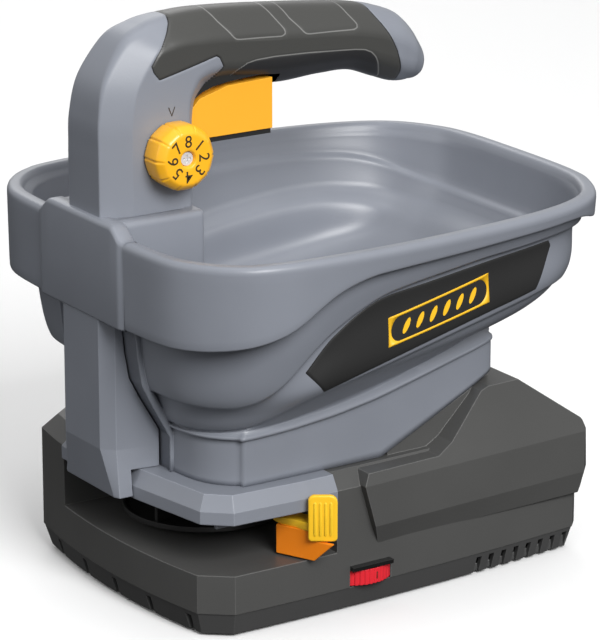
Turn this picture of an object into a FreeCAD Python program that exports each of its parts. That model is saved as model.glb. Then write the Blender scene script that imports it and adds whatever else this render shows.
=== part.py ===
import FreeCAD, Part
import math
import os

# Cordless hand spreader for seed, fertiliser and grit.
# Millimetres, +Z up. -X is the front, where the impeller throws, and -Y is the right-hand side.
# The origin is on the ground at the centre of the whole object's box.

V = FreeCAD.Vector

# ---- driving dimensions -------------------------------------------------------------------
WALL = 2.5                 # moulded wall thickness
GAP = 0.3                  # clearance round a moving piece

TRAY_BOTTOM = 1.5          # underside of the base tray, above the rubber feet
SEAM_Z = 13.0              # tray to housing seam
DECK_Z = 33.0              # floor of the throwing chamber
WALL_TOP_Z = 65.3          # top of the vertical housing walls
HOUSING_TOP_Z = 72.8       # top of the housing above its chamfer
PLATE_BOTTOM_Z = 59.0      # discharge plate underside
PLATE_EDGE_Z = 65.6        # top of the plate's vertical edge
PLATE_TOP_Z = 73.0
PLATE_REAR_X = -27.4       # the plate ends against the raised rear of the housing
RIM_Z = 194.6              # hopper rim
BLOCK_TOP_Z = 201.0        # handle foot on the hopper rim
SKIRT_FRONT_Z = 150.5      # lower edge of the rim skirt at the front

BASE_FRONT_X = -122.0
BASE_REAR_X = 118.0
CHAMBER_REAR_X = -40.8     # right-hand wall of the throwing chamber
CHAMBER_LEFT_Y = 45.0      # left-hand wall of the throwing chamber

IMPELLER_X = -63.1
IMPELLER_R = 41.8
IMPELLER_Z = 36.5
SHAFT_R = 3.0
CHAMBER_R = 45.0

RIM_FRONT_X = -132.6
RIM_REAR_X = 134.2
RIM_HALF = 118.1
LIP = 7.6                  # width of the rim's flat lip

DUCT_REAR_X = -79.0        # rear wall of the handle duct inside the hopper
DUCT_HALF = 30.0
COLUMN_FRONT_X = -130.5    # front of the handle column above the rim
COLUMN_REAR_X = -78.8
BLOCK_FRONT_X = -134.2

KNOB_X = -92.5
KNOB_Z = 229.0
KNOB_R = 16.3
KNOB_BACK_Y = -20.6
KNOB_FACE_Y = -35.6

TRIGGER_PIVOT = V(-70.0, 0, 262.0)
TRIGGER_HALF = 12.5
ROD_X = -100.0             # vertical pull rod in the column
ROD_HALF = 2.5
CRANK_X = -91.0
CRANK_Z = 94.5
CRANK_ARM = 16.0           # crank pivot down to the gate
GATE_BOTTOM_Z = PLATE_TOP_Z + GAP
GATE_TOP_Z = GATE_BOTTOM_Z + 2.0
GATE_TRAVEL = 10.5
OUTLET_X0 = -68.5          # the two outlet windows, front and rear edges
OUTLET_X1 = -58.5
OUTLET_Y0 = 10.0
OUTLET_Y1 = 24.0

DIAL_X = -21.0
DIAL_Y = -70.8
DIAL_R = 20.0
DIAL_Z0 = 13.8
DIAL_Z1 = 21.6
HOOD_TOP_Z = 24.3

BAY_X0 = 15.0              # battery bay, inside faces
BAY_HALF = 38.5
BAY_Z0 = 16.0
BAY_Z1 = 62.0
PACK_REAR_X = 122.2

BOARD_Z = 16.0             # underside of the control board

FOOT_SPOTS = [(-88, 62), (-88, -62), (96, 58), (96, -58)]
BASE_SCREW_SPOTS = [(-104, 66), (-104, -66), (10, 77), (10, -77), (108, 66), (108, -66)]
BOARD_POSTS = [(-31, 17), (-31, 59), (5, 17), (5, 59)]
HANDLE_SCREW_SPOTS = [(-118, 214), (-118, 246), (-90, 278), (2, 272), (42, 262)]


# ---- small helpers --------------------------------------------------------------------------
def box(x0, x1, y0, y1, z0, z1):
    return Part.makeBox(x1 - x0, y1 - y0, z1 - z0, V(x0, y0, z0))


def wire(points):
    return Part.makePolygon(points + [points[0]])


def prism(outline, z0, z1):
    face = Part.Face(wire([V(x, y, z0) for x, y in outline]))
    return face.extrude(V(0, 0, z1 - z0))


def slab(outline, y0, y1):
    """Extrude an outline drawn in X and Z across the object."""
    face = Part.Face(wire([V(x, y0, z) for x, z in outline]))
    return face.extrude(V(0, y1 - y0, 0))


def upright(x, y, z0, z1, radius):
    return Part.makeCylinder(radius, z1 - z0, V(x, y, z0))


def across(x, z, y0, y1, radius):
    return Part.makeCylinder(radius, y1 - y0, V(x, y0, z), V(0, 1, 0))


def tapered(lower, upper, z0, z1):
    """A solid between two outlines with the same number of points."""
    wires = [wire([V(x, y, z0) for x, y in lower]), wire([V(x, y, z1) for x, y in upper])]
    return Part.makeLoft(wires, True, True)


def both_sides(half):
    """A closed outline from its half with y >= 0, listed from front to rear."""
    return half + [(x, -y) for x, y in reversed(half) if y > 0]


def closed_spline(points):
    curve = Part.BSplineCurve()
    curve.interpolate(Points=points, PeriodicFlag=True)
    return Part.Wire([curve.toShape()])


def fuse(shapes):
    return shapes[0].multiFuse(shapes[1:]).removeSplitter()


def mirrored(shape):
    return shape.mirror(V(0, 0, 0), V(0, 1, 0))


def smooth_edges(shape, radius, wanted):
    """Round the edges that the test picks."""
    return shape.makeFillet(radius, [edge for edge in shape.Edges if wanted(edge)])


# ---- base -----------------------------------------------------------------------------------
def base_wire(z, inset=0.0):
    """The base's plan: a bowed front, corner chamfers and sides that narrow to the rear."""
    front_corner = V(-114.6, 76.3, z)
    side_front = V(-100.0, 87.9, z)
    side_middle = V(10.0, 86.0, z)
    side_rear = V(112.0, 77.4, z)
    rear_corner = V(BASE_REAR_X, 71.0, z)

    def other(point):
        return V(point.x, -point.y, point.z)

    edges = [
        Part.Arc(other(front_corner), V(BASE_FRONT_X, 0, z), front_corner).toShape(),
        Part.LineSegment(front_corner, side_front).toShape(),
        Part.Arc(side_front, side_middle, side_rear).toShape(),
        Part.LineSegment(side_rear, rear_corner).toShape(),
        Part.LineSegment(rear_corner, other(rear_corner)).toShape(),
        Part.LineSegment(other(rear_corner), other(side_rear)).toShape(),
        Part.Arc(other(side_rear), other(side_middle), other(side_front)).toShape(),
        Part.LineSegment(other(side_front), other(front_corner)).toShape(),
    ]
    outline = Part.Wire(edges)
    if inset:
        outline = outline.makeOffset2D(-inset, 2)
    return outline


def base_block(z0, z1, inset=0.0):
    return Part.Face(base_wire(z0, inset)).extrude(V(0, 0, z1 - z0))


def base_frustum(z0, z1, inset0, inset1):
    return Part.makeLoft([base_wire(z0, inset0), base_wire(z1, inset1)], True, True)


def chamber_plan(grow=0.0):
    """Plan of the throwing chamber: open to the front and to the right."""
    rear = CHAMBER_REAR_X + grow
    left = CHAMBER_LEFT_Y + grow
    radius = CHAMBER_R + grow
    far = 160.0
    straight = [(-far, -far), (rear, -far), (rear, 0), (IMPELLER_X, 0), (IMPELLER_X, left), (-far, left)]
    return straight, radius


def chamber(z0, z1, grow=0.0):
    straight, radius = chamber_plan(grow)
    return fuse([prism(straight, z0, z1), upright(IMPELLER_X, 0, z0, z1, radius)])


def base_side_y(x):
    """Half width of the base at x, behind its widest part."""
    return 86.0 - (x - 10.0) * 8.6 / 102.0


def base_front_at(y):
    """Where the bowed front of the base stands at y."""
    return BASE_FRONT_X + 7.4 * (y / 76.3) ** 2


def base_tray():
    taper = 4.0
    vent_depth = 5.0
    vent_top = 10.5
    shell = base_frustum(TRAY_BOTTOM, SEAM_Z, taper, 0.4)
    hollow = base_frustum(TRAY_BOTTOM + WALL, SEAM_Z + 1, taper + WALL - 0.4, WALL)
    bosses = [upright(x, y, TRAY_BOTTOM + 0.1, SEAM_Z, 5.0) for x, y in BASE_SCREW_SPOTS]
    posts = [upright(x, y, TRAY_BOTTOM + 0.1, BOARD_Z, 2.6) for x, y in BOARD_POSTS]
    tray = fuse([shell.cut(hollow)] + bosses + posts)
    cuts = []
    for x, y in BASE_SCREW_SPOTS:
        cuts.append(upright(x, y, 0, 4.1, 3.7))
        cuts.append(upright(x, y, 0, SEAM_Z + 1, 1.6))
    slot_pitch = 8.3
    for index in range(8):
        x = 48.0 + index * slot_pitch
        outside = base_side_y(x) + 2.0
        inside = base_side_y(x) - vent_depth
        cuts.append(box(x, x + 3.4, inside, outside, 0, vent_top))
        cuts.append(box(x, x + 3.4, -outside, -inside, 0, vent_top))
    front_pitch = 31.0
    for index in range(-2, 3):
        y = index * front_pitch - 8.0
        cuts.append(box(-123, base_front_at(y) + vent_depth, y, y + 4.0, 0, vent_top))
    for cutter in cuts:
        tray = tray.cut(cutter)
    return tray


def rubber_feet():
    feet = [upright(x, y, 0, TRAY_BOTTOM, 9.0) for x, y in FOOT_SPOTS]
    return Part.makeCompound(feet)


def base_screws():
    screws = []
    for x, y in BASE_SCREW_SPOTS:
        head = upright(x, y, 1.8, 4.0, 3.4)
        shank = upright(x, y, 3.0, 22.0, 1.45)
        screws.append(fuse([head, shank]))
    return Part.makeCompound(screws)


def neck_outline(inset=0.0):
    half = [
        (-105.0 + inset, 0), (-104.0 + inset, 40 - inset / 2), (-100.0 + inset, 60 - inset),
        (-89.0 + inset, 73 - inset), (-75.0, 76.4 - inset), (48.0, 73.0 - inset),
        (66.0 - inset, 64 - inset), (75.0 - inset, 45), (76.5 - inset, 0),
    ]
    return both_sides(half)


NECK_SEAM_X = -2.0         # the dark neck of the housing starts here and climbs to the rear
NECK_SEAM_SLOPE = 0.45


def below_neck_seam(z_low):
    """Everything under the sloping joint line between housing and hopper."""
    start_z = 75.0
    rear = 100.0
    rear_z = start_z + NECK_SEAM_SLOPE * (rear - NECK_SEAM_X)
    outline = [(NECK_SEAM_X, z_low), (NECK_SEAM_X, start_z), (rear, rear_z), (rear, z_low)]
    return slab(outline, -130, 130)


def rear_block(inset=0.0):
    """The raised rear casing, which stands proud of the lower walls."""
    side = [
        (-16.0 + inset, 32.5), (-20.5 + inset, 44.0), (-27.0 + inset, 66.0),
        (-24.0 + inset, 72.0 - inset), (20.0, 72.0 - inset), (29.0, 77.0 - inset),
        (51.0, 98.5 - inset), (56.0, 100.0 - inset), (75.0, 100.0 - inset),
        (113.0 - inset, 73.5 - inset), (118.5 - inset, 66.0 - inset / 2),
        (122.4 - inset, 44.0), (120.4 - inset, 32.5),
    ]
    body = slab(side, -100, 100)
    low, high = 32.5, 101.0
    plan_low = both_sides([(-30.0, 87.6 - inset), (113.0, 80.4 - inset), (123.0 - inset, 70.0 - inset)])
    plan_mid = both_sides([(-30.0, 92.4 - inset), (115.0, 82.6 - inset), (123.0 - inset, 74.0 - inset)])
    plan_top = both_sides([(-30.0, 84.0 - inset), (110.0, 76.0 - inset), (123.0 - inset, 66.0 - inset)])
    crease, shoulder = 44.0, 66.0
    plan = fuse([
        tapered(plan_low, plan_mid, low, crease),
        prism(plan_mid, crease, shoulder),
        tapered(plan_mid, plan_top, shoulder, high),
    ])
    return body.common(plan)


def base_housing():
    lower = base_block(SEAM_Z, DECK_Z)
    upper = fuse([base_block(DECK_Z, WALL_TOP_Z), base_frustum(WALL_TOP_Z, HOUSING_TOP_Z, 0, 8.0)])
    upper = upper.cut(chamber(DECK_Z, 90))
    neck = prism(neck_outline(), 60, 125).common(below_neck_seam(60))
    solid = fuse([lower, upper, rear_block(), neck])
    inner_low = base_block(SEAM_Z - 1, DECK_Z - WALL, WALL)
    inner_high = base_block(DECK_Z - WALL - 1, WALL_TOP_Z, WALL).cut(chamber(20, 90, WALL))
    rear_room = rear_block(WALL).cut(chamber(20, 110, WALL))
    neck_room = prism(neck_outline(WALL), 55, 130).common(slab(
        [(NECK_SEAM_X + WALL, 50), (NECK_SEAM_X + WALL, 71), (100, 115), (100, 50)], -130, 130))
    shell = solid.cut(inner_low).cut(inner_high).cut(rear_room).cut(neck_room)
    inside = base_block(SEAM_Z, DECK_Z - 1, 1.0)
    for x, y in BASE_SCREW_SPOTS:
        y0, y1 = sorted((y, math.copysign(92, y)))
        rib = box(x - 1.2, x + 1.2, y0, y1, SEAM_Z, DECK_Z - 1).common(inside)
        boss = upright(x, y, SEAM_Z, DECK_Z - 1, 4.6).fuse(rib)
        shell = shell.fuse(boss.cut(upright(x, y, SEAM_Z - 1, 24, 1.5)))
    battery_door = box(BAY_X0, 130, -BAY_HALF, BAY_HALF, BAY_Z0 - 0.5, BAY_Z1)
    dial_slot = fuse([
        box(DIAL_X - 12, DIAL_X + 12, -95, -80, SEAM_Z - 1, HOOD_TOP_Z),
        upright(DIAL_X, DIAL_Y, SEAM_Z - 1, DIAL_Z1 + 0.4, DIAL_R + 0.5),
    ])
    shaft_hole = upright(IMPELLER_X, 0, 20, 40, 5.0)
    shell = shell.cut(battery_door).cut(dial_slot).cut(shaft_hole)
    for side in (-1, 1):
        shell = shell.cut(upright(IMPELLER_X, side * 9, 20, 40, 1.5))
    return shell.removeSplitter()


def battery_bay():
    wall = 2.0
    outer = box(BAY_X0 - wall, 115, -BAY_HALF - wall, BAY_HALF + wall, BAY_Z0 - wall, BAY_Z1 + wall)
    return outer.cut(box(BAY_X0, 116, -BAY_HALF, BAY_HALF, BAY_Z0, BAY_Z1))


def battery_pack():
    body = box(BAY_X0 + 8, PACK_REAR_X, -BAY_HALF + GAP, BAY_HALF - GAP, BAY_Z0 + GAP, BAY_Z1 - GAP)
    body = smooth_edges(body, 4.0, lambda edge: abs(edge.Vertexes[0].X - edge.Vertexes[-1].X) > 1)
    grip = box(PACK_REAR_X - 3, PACK_REAR_X + 1, -26, 26, 22, 30)
    button_well = box(PACK_REAR_X - 9, PACK_REAR_X + 1, -14.4, 14.4, 44.6, 57.4)
    contact_slots = [box(BAY_X0 + 7, BAY_X0 + 22, y - 1.5, y + 1.5, 30, 48) for y in (-18, 0, 18)]
    for cutter in [grip, button_well] + contact_slots:
        body = body.cut(cutter)
    return body


def battery_latch():
    pad = box(PACK_REAR_X - 4.4, PACK_REAR_X - 0.2, -14, 14, 45, 57)
    ribs = [box(PACK_REAR_X - 0.4, PACK_REAR_X + 0.4, -9, 9, z, z + 1.2) for z in (48, 51, 54)]
    return fuse([pad] + ribs)


def terminal_block():
    body = box(BAY_X0, BAY_X0 + 5, -26, 26, 27, 51)
    blades = [box(BAY_X0 + 4, BAY_X0 + 18, y - 0.5, y + 0.5, 32, 46) for y in (-18, 0, 18)]
    return fuse([body] + blades)


def motor():
    can = upright(IMPELLER_X, 0, 5.0, DECK_Z - WALL, 14.0)
    neck = upright(IMPELLER_X, 0, DECK_Z - WALL - 0.5, DECK_Z - 0.2, 5.0)
    cap = upright(IMPELLER_X, 0, 4.4, 5.5, 9.0)
    body = fuse([can, neck, cap])
    body = body.cut(upright(IMPELLER_X, 0, 6, 40, SHAFT_R + 0.05))
    for side in (-1, 1):
        body = body.cut(upright(IMPELLER_X, side * 9, 22, 40, 1.45))
    return body


def motor_screws():
    screws = []
    for side in (-1, 1):
        head = upright(IMPELLER_X, side * 9, DECK_Z, DECK_Z + 1.4, 2.6)
        shank = upright(IMPELLER_X, side * 9, 24, DECK_Z + 0.5, 1.4)
        screws.append(fuse([head, shank]))
    return Part.makeCompound(screws)


def control_board():
    board = box(-34, 8, 14, 62, BOARD_Z, BOARD_Z + 1.6)
    parts = [
        box(-28, -12, 22, 34, 17.5, 26),
        upright(-2, 26, 17.5, 27, 4.0),
        upright(-2, 38, 17.5, 27, 4.0),
        box(-26, -6, 44, 54, 17.5, 22),
    ]
    return fuse([board] + parts)


# ---- impeller -------------------------------------------------------------------------------
def drive_shaft():
    return upright(IMPELLER_X, 0, 7.0, 116.0, SHAFT_R)


def impeller():
    disc = upright(IMPELLER_X, 0, IMPELLER_Z, IMPELLER_Z + 1.6, IMPELLER_R)
    lip = upright(IMPELLER_X, 0, IMPELLER_Z, IMPELLER_Z + 2.6, IMPELLER_R)
    lip = lip.cut(upright(IMPELLER_X, 0, IMPELLER_Z - 1, IMPELLER_Z + 4, IMPELLER_R - 1.4))
    hub = Part.makeCone(11.0, 7.0, 14.0, V(IMPELLER_X, 0, IMPELLER_Z))
    vanes = []
    vane_count = 4
    for index in range(vane_count):
        vane = box(5, IMPELLER_R - 2.5, -0.8, 0.8, IMPELLER_Z + 1, IMPELLER_Z + 11)
        vane.rotate(V(0, 0, 0), V(0, 0, 1), index * 360.0 / vane_count + 20)
        vane.translate(V(IMPELLER_X, 0, 0))
        vanes.append(vane)
    wheel = fuse([disc, lip, hub] + vanes)
    return wheel.cut(upright(IMPELLER_X, 0, 30, 60, SHAFT_R + 0.03))


def impeller_nut():
    corners = [(IMPELLER_X + 5 * math.cos(math.radians(60 * k)), 5 * math.sin(math.radians(60 * k)))
               for k in range(6)]
    nut = prism(corners, IMPELLER_Z + 14, IMPELLER_Z + 18)
    return nut.cut(upright(IMPELLER_X, 0, 45, 60, SHAFT_R + 0.03))


def agitator():
    hub = upright(IMPELLER_X, 0, 106, 114, 6.0)
    arms = []
    for angle in (0, 120, 240):
        arm = Part.makeCylinder(1.6, 10.0, V(4, 0, 108.5), V(1, 0, 0.25))
        arm.rotate(V(0, 0, 0), V(0, 0, 1), angle)
        arm.translate(V(IMPELLER_X, 0, 0))
        arms.append(arm)
    body = fuse([hub] + arms)
    return body.cut(upright(IMPELLER_X, 0, 100, 120, SHAFT_R + 0.03))


# ---- discharge plate, gate and crank ----------------------------------------------------------
def discharge_plate():
    outer = [(-120.7, 44.7), (-120.7, -28.0), (-112.8, -76.7), (-100.3, -87.6), (-57.6, -89.1),
             (PLATE_REAR_X, -88.4), (PLATE_REAR_X, 44.7)]
    inner = [(-116.0, 41.0), (-116.0, -26.4), (-108.6, -73.6), (-98.4, -82.9), (-57.6, -84.6),
             (PLATE_REAR_X, -83.9), (PLATE_REAR_X, 41.0)]
    body = fuse([
        prism(outer, PLATE_BOTTOM_Z, PLATE_EDGE_Z),
        tapered(outer, inner, PLATE_EDGE_Z, PLATE_TOP_Z),
    ])
    body = body.common(chamber(50, 90, -GAP))
    posts = []
    for side in (-1, 1):
        y0, y1 = sorted((side * 8.0, side * 11.0))
        posts.append(box(CRANK_X - 3.5, CRANK_X + 3.5, y0, y1, PLATE_TOP_Z - 1, CRANK_Z + 4))
        y0, y1 = sorted((side * 27.8, side * 30.0))
        posts.append(box(-86, -52, y0, y1, PLATE_TOP_Z - 1, GATE_TOP_Z + 0.4))
    rails = [box(-104, -46, y, y + 2.0, PLATE_BOTTOM_Z - 4, PLATE_BOTTOM_Z + 1) for y in (-77.2, -65.8)]
    body = fuse([body] + posts + rails)
    body = body.cut(across(CRANK_X, CRANK_Z, -12, 12, 1.5))
    body = body.cut(upright(IMPELLER_X, 0, 50, 80, 4.2))
    for side in (-1, 1):
        y0, y1 = sorted((side * OUTLET_Y0, side * OUTLET_Y1))
        body = body.cut(box(OUTLET_X0, OUTLET_X1, y0, y1, 50, 80))
    return body


def flow_gate():
    plate = box(-87, -51.5, -27.4, 27.4, GATE_BOTTOM_Z, GATE_TOP_Z)
    tongue = box(-98, -86, -7, 7, GATE_BOTTOM_Z, GATE_TOP_Z)
    lugs = [
        box(-97.6, -94.6, -5, 5, GATE_TOP_Z - 0.5, 84),
        box(-87.4, -84.4, -5, 5, GATE_TOP_Z - 0.5, 84),
    ]
    gate = fuse([plate, tongue] + lugs)
    slot = fuse([
        upright(IMPELLER_X, 0, 70, 80, 4.2),
        upright(IMPELLER_X - GATE_TRAVEL, 0, 70, 80, 4.2),
        box(IMPELLER_X - GATE_TRAVEL, IMPELLER_X, -4.2, 4.2, 70, 80),
    ])
    gate = gate.cut(slot)
    for side in (-1, 1):
        y0, y1 = sorted((side * OUTLET_Y0, side * OUTLET_Y1))
        gate = gate.cut(box(OUTLET_X0 - GATE_TRAVEL, OUTLET_X1 - GATE_TRAVEL, y0, y1, 70, 80))
    return gate


def gate_crank():
    hub = across(CRANK_X, CRANK_Z, -7.5, 7.5, 4.0)
    low = across(CRANK_X, CRANK_Z - CRANK_ARM, -4.0, 4.0, 2.5)
    leg = box(CRANK_X - 1.8, CRANK_X + 1.8, -4.0, 4.0, CRANK_Z - CRANK_ARM, CRANK_Z)
    front = across(ROD_X, CRANK_Z, -4.0, 4.0, 2.5)
    arm = box(ROD_X, CRANK_X, -4.0, 4.0, CRANK_Z - 1.8, CRANK_Z + 1.8)
    return fuse([hub, low, leg, front, arm]).cut(across(CRANK_X, CRANK_Z, -9, 9, 1.55))


def crank_pin():
    return across(CRANK_X, CRANK_Z, -11.0, 11.0, 1.5)


def pull_rod():
    top = TRIGGER_PIVOT.z - 3.0 - GAP
    bottom = CRANK_Z + 2.5 + GAP
    bar = box(ROD_X - ROD_HALF, ROD_X + ROD_HALF, -ROD_HALF, ROD_HALF, bottom, top)
    collar = upright(ROD_X, 0, 217, 219, 5.5)
    return fuse([bar, collar])


def coil(x, y, z0, z1, radius, thickness, turns):
    """A compression spring standing upright."""
    pitch = (z1 - z0 - thickness) / turns
    path = Part.makeHelix(pitch, pitch * turns, radius)
    section = Part.Wire([Part.makeCircle(thickness / 2, V(radius, 0, 0), V(0, 1, 0))])
    spring = Part.Wire(path).makePipeShell([section], True, True)
    spring.translate(V(x, y, z0 + thickness / 2))
    return spring


def rod_spring():
    return coil(ROD_X, 0, BLOCK_TOP_Z + 0.3, 216.7, 4.4, 0.9, 5)


def trigger_spring():
    return coil(-42.0, 0, 263.1, 288.0, 3.6, 0.8, 6)


# ---- hopper -----------------------------------------------------------------------------------
RIM_HALF_OUTLINE = [
    (RIM_FRONT_X, 0), (RIM_FRONT_X - 0.2, 45), (-128.3, 81.4), (-109.5, 106.5), (-81.0, 116.3),
    (-25.6, RIM_HALF), (37.0, 113.4), (82.0, 105.0), (111.0, 90.8), (127.0, 68.0), (133.0, 44.0),
    (RIM_REAR_X, 0),
]

# Each level of the bowl: front x, rear x, half width, height at the front, climb per mm to the rear
BOWL_LEVELS = [
    (-105.0, 74.0, 76.5, 95.0, 0.165),
    (-110.5, 87.0, 86.0, 106.0, 0.140),
    (-117.0, 107.0, 97.0, 120.0, 0.100),
    (-119.5, 118.5, 102.0, 140.0, 0.050),
    (-121.5, 126.5, 107.0, 165.0, 0.020),
    (-125.0, 129.1, 113.0, RIM_Z, 0.0),
]


def bowl_section(level, grow=0.0, lift=0.0):
    front, rear, half, z, climb = level
    front -= grow
    rear += grow
    half += grow
    x_scale = (rear - front) / (RIM_REAR_X - RIM_FRONT_X)
    y_scale = half / RIM_HALF
    points = []
    for x, y in both_sides(RIM_HALF_OUTLINE):
        px = front + (x - RIM_FRONT_X) * x_scale
        points.append(V(px, y * y_scale, z + lift + climb * (px - front)))
    return closed_spline(points)


def bowl_solid(grow=0.0, lift=0.0, top_up=0.0):
    wires = []
    for index, level in enumerate(BOWL_LEVELS):
        rise = lift if index == 0 else lift * 0.4
        if index == len(BOWL_LEVELS) - 1:
            rise = top_up
        wires.append(bowl_section(level, grow, rise))
    return Part.makeLoft(wires, True, True)


def rim_prism(inset, z0, z1):
    points = []
    for x, y in both_sides(RIM_HALF_OUTLINE):
        middle = (RIM_FRONT_X + RIM_REAR_X) / 2
        reach = (RIM_REAR_X - RIM_FRONT_X) / 2
        px = middle + (x - middle) * (reach - inset) / reach
        points.append(V(px, y * (RIM_HALF - inset) / RIM_HALF, z0))
    return Part.Face(closed_spline(points)).extrude(V(0, 0, z1 - z0))


def skirt_edge():
    """Side view of the skirt's lower edge, from front to rear."""
    return [
        (-140.0, SKIRT_FRONT_Z), (-128.0, 151.5), (-115.5, 158.9), (-98.8, 158.5), (-81.8, 160.5),
        (-65.3, 165.0), (-53.8, 170.6), (-42.6, 174.2), (-25.4, 176.8), (3.7, 181.6), (33.2, 185.5),
        (63.2, 188.4), (97.0, 189.2), (109.0, 186.5), (114.0, 181.0), (140.0, 181.0),
    ]


def front_mount(z0, z1, half, thick):
    """The flange on the bowl's front, behind the front column."""
    front = [(-125.4, 150), (-123.4, 144), (-122.6, 134), (-120.4, 120), (-114.4, 108), (-108.3, 97),
             (-104.9, 90.6), (-105.1, 73.0)]
    back = [(x + thick, z) for x, z in reversed(front)]
    return slab(front + back, -half, half).common(box(-140, 0, -half, half, z0, z1))


def hopper():
    shell = bowl_solid().cut(bowl_solid(-WALL, WALL, 1.0))
    lip_ring = rim_prism(0, RIM_Z - WALL, RIM_Z).cut(rim_prism(LIP, RIM_Z - 10, RIM_Z + 5))
    skirt = rim_prism(0, SKIRT_FRONT_Z, RIM_Z).cut(rim_prism(WALL, SKIRT_FRONT_Z - 1, RIM_Z + 1))
    below = slab([(-140, 140)] + skirt_edge() + [(140, 140)], -130, 130)
    skirt = skirt.cut(below)
    neck = prism(neck_outline(), PLATE_TOP_Z, 130).cut(prism(neck_outline(WALL), 70, 131))
    neck = neck.cut(bowl_solid(-0.5, 1.0)).cut(below_neck_seam(60))
    over_bowl = slab([(-140, 95), (-105, 95.4), (76, 125.0), (140, 136), (140, 220), (-140, 220)], -130, 130)
    neck = neck.cut(over_bowl)
    block = box(BLOCK_FRONT_X, DUCT_REAR_X, -DUCT_HALF, DUCT_HALF, SKIRT_FRONT_Z + 0.5, BLOCK_TOP_Z)
    duct = box(-122, DUCT_REAR_X, -DUCT_HALF, DUCT_HALF, 92, 180).common(
        bowl_solid(-0.4, 0.3, 1.0))
    flange = front_mount(73.0, 150.0, 38.0, 3.5)
    well_outer = box(-73, -54, -28.5, 28.5, GATE_TOP_Z + 0.5, 108).common(
        slab([(-80, 70), (-80, 100.4), (-40, 107.0), (-40, 70)], -40, 40))
    body = fuse([shell, lip_ring, skirt, neck, block, duct, flange, well_outer])
    room = box(-131.5, DUCT_REAR_X - WALL, -DUCT_HALF + WALL, DUCT_HALF - WALL, 60, BLOCK_TOP_Z - WALL)
    body = body.cut(room)
    body = body.cut(box(-70.5, -56.5, -26.0, 26.0, 70, 120))
    rod_hole = ROD_HALF + 0.4
    body = body.cut(box(ROD_X - rod_hole, ROD_X + rod_hole, -rod_hole, rod_hole, 190, 210))
    return body


def label_panel_right():
    """The dark side panel, a thin skin that follows the bowl."""
    outline = [
        (-68.8, 129.0), (-57.8, 123.0), (-35.8, 127.0), (-12.8, 132.7), (17.2, 140.4), (47.2, 147.7),
        (69.6, 153.3), (77.7, 176.2), (75.8, 177.5), (46.6, 172.9), (16.6, 170.6), (-12.9, 165.2),
        (-24.5, 161.0), (-41.8, 149.0), (-53.3, 139.3),
    ]
    skin = bowl_solid(1.4).cut(bowl_solid(0.02))
    return skin.common(slab(outline, -125, -60))


def front_column():
    """The faceted cover in front of the hopper, tapered to a toe at the bottom."""
    def plan(front, half, cheek_x, cheek_y, rear_x, rear_y):
        return [(rear_x, -rear_y), (cheek_x, -cheek_y), (front, -half), (front, half),
                (cheek_x, cheek_y), (rear_x, rear_y)]

    toe = plan(-129.6, 23.0, -128.2, 26.4, -106.0, 27.0)
    knee = plan(-133.6, 17.0, -127.5, 22.5, -106.0, 27.0)
    toe_in = plan(-127.1, 21.0, -126.0, 23.9, -104.0, 24.5)
    knee_in = plan(-131.1, 15.5, -125.5, 20.2, -104.0, 24.5)
    knee_z = 84.0
    top = SKIRT_FRONT_Z + 0.2
    outer = fuse([tapered(toe, knee, 60, knee_z), prism(knee, knee_z, top)])
    inner = fuse([tapered(toe_in, knee_in, 60 + WALL, knee_z), prism(knee_in, knee_z, top + 1)])
    behind = slab([(-125.7, 155), (-123.7, 144), (-122.9, 134), (-120.7, 120), (-114.7, 108),
                   (-108.6, 97), (-105.2, 90.6), (-105.4, 73.3), (-121.0, 73.3), (-121.0, 50),
                   (-60, 50), (-60, 155)], -40, 40)
    return outer.cut(inner).cut(behind)


# ---- handle -----------------------------------------------------------------------------------
# Each station: front or top point, rear or bottom point (x, z), half width, squareness
STATIONS = [
    ((COLUMN_FRONT_X, 201.0), (COLUMN_REAR_X, 201.0), 20.0, 6.0),
    ((COLUMN_FRONT_X, 214.0), (COLUMN_REAR_X, 214.0), 20.0, 6.0),
    ((COLUMN_FRONT_X, 232.0), (-78.9, 230.0), 20.0, 6.0),
    ((-130.0, 248.0), (-78.6, 243.0), 20.0, 5.5),
    ((-126.2, 266.0), (-76.0, 252.0), 19.5, 4.5),
    ((-116.5, 281.5), (-70.5, 256.5), 19.0, 4.0),
    ((-101.0, 291.0), (-64.0, 257.5), 18.5, 3.6),
    ((-80.0, 294.7), (-55.5, 256.0), 18.0, 3.2),
    ((-55.0, 294.2), (-42.0, 254.0), 17.5, 3.0),
    ((-28.0, 292.0), (-22.0, 252.0), 17.0, 3.0),
    ((0.0, 289.3), (2.0, 253.3), 17.0, 3.0),
    ((22.0, 286.6), (20.0, 252.8), 17.2, 3.0),
    ((38.0, 283.0), (34.0, 247.8), 17.4, 3.0),
    ((50.0, 277.6), (46.0, 243.8), 17.2, 3.0),
    ((59.0, 267.6), (54.5, 243.5), 15.0, 2.8),
    ((65.4, 255.5), (62.6, 244.8), 8.0, 2.4),
]
RIM_STEPS = 24


def station_wire(station, inset):
    (x0, z0), (x1, z1), half, power = station
    length = math.hypot(x1 - x0, z1 - z0)
    reach = max(length / 2 - inset, 0.6)
    half = max(half - inset, 0.5)
    cx, cz = (x0 + x1) / 2, (z0 + z1) / 2
    ux, uz = (x0 - x1) / length, (z0 - z1) / length
    points = []
    for step in range(RIM_STEPS):
        angle = 2 * math.pi * step / RIM_STEPS
        c, s = math.cos(angle), math.sin(angle)
        along = reach * math.copysign(abs(c) ** (2 / power), c)
        side = half * math.copysign(abs(s) ** (2 / power), s)
        points.append(V(cx + ux * along, side, cz + uz * along))
    return closed_spline(points)


BEND_STATION = 7           # the column and the grip are lofted apart and meet here


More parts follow.
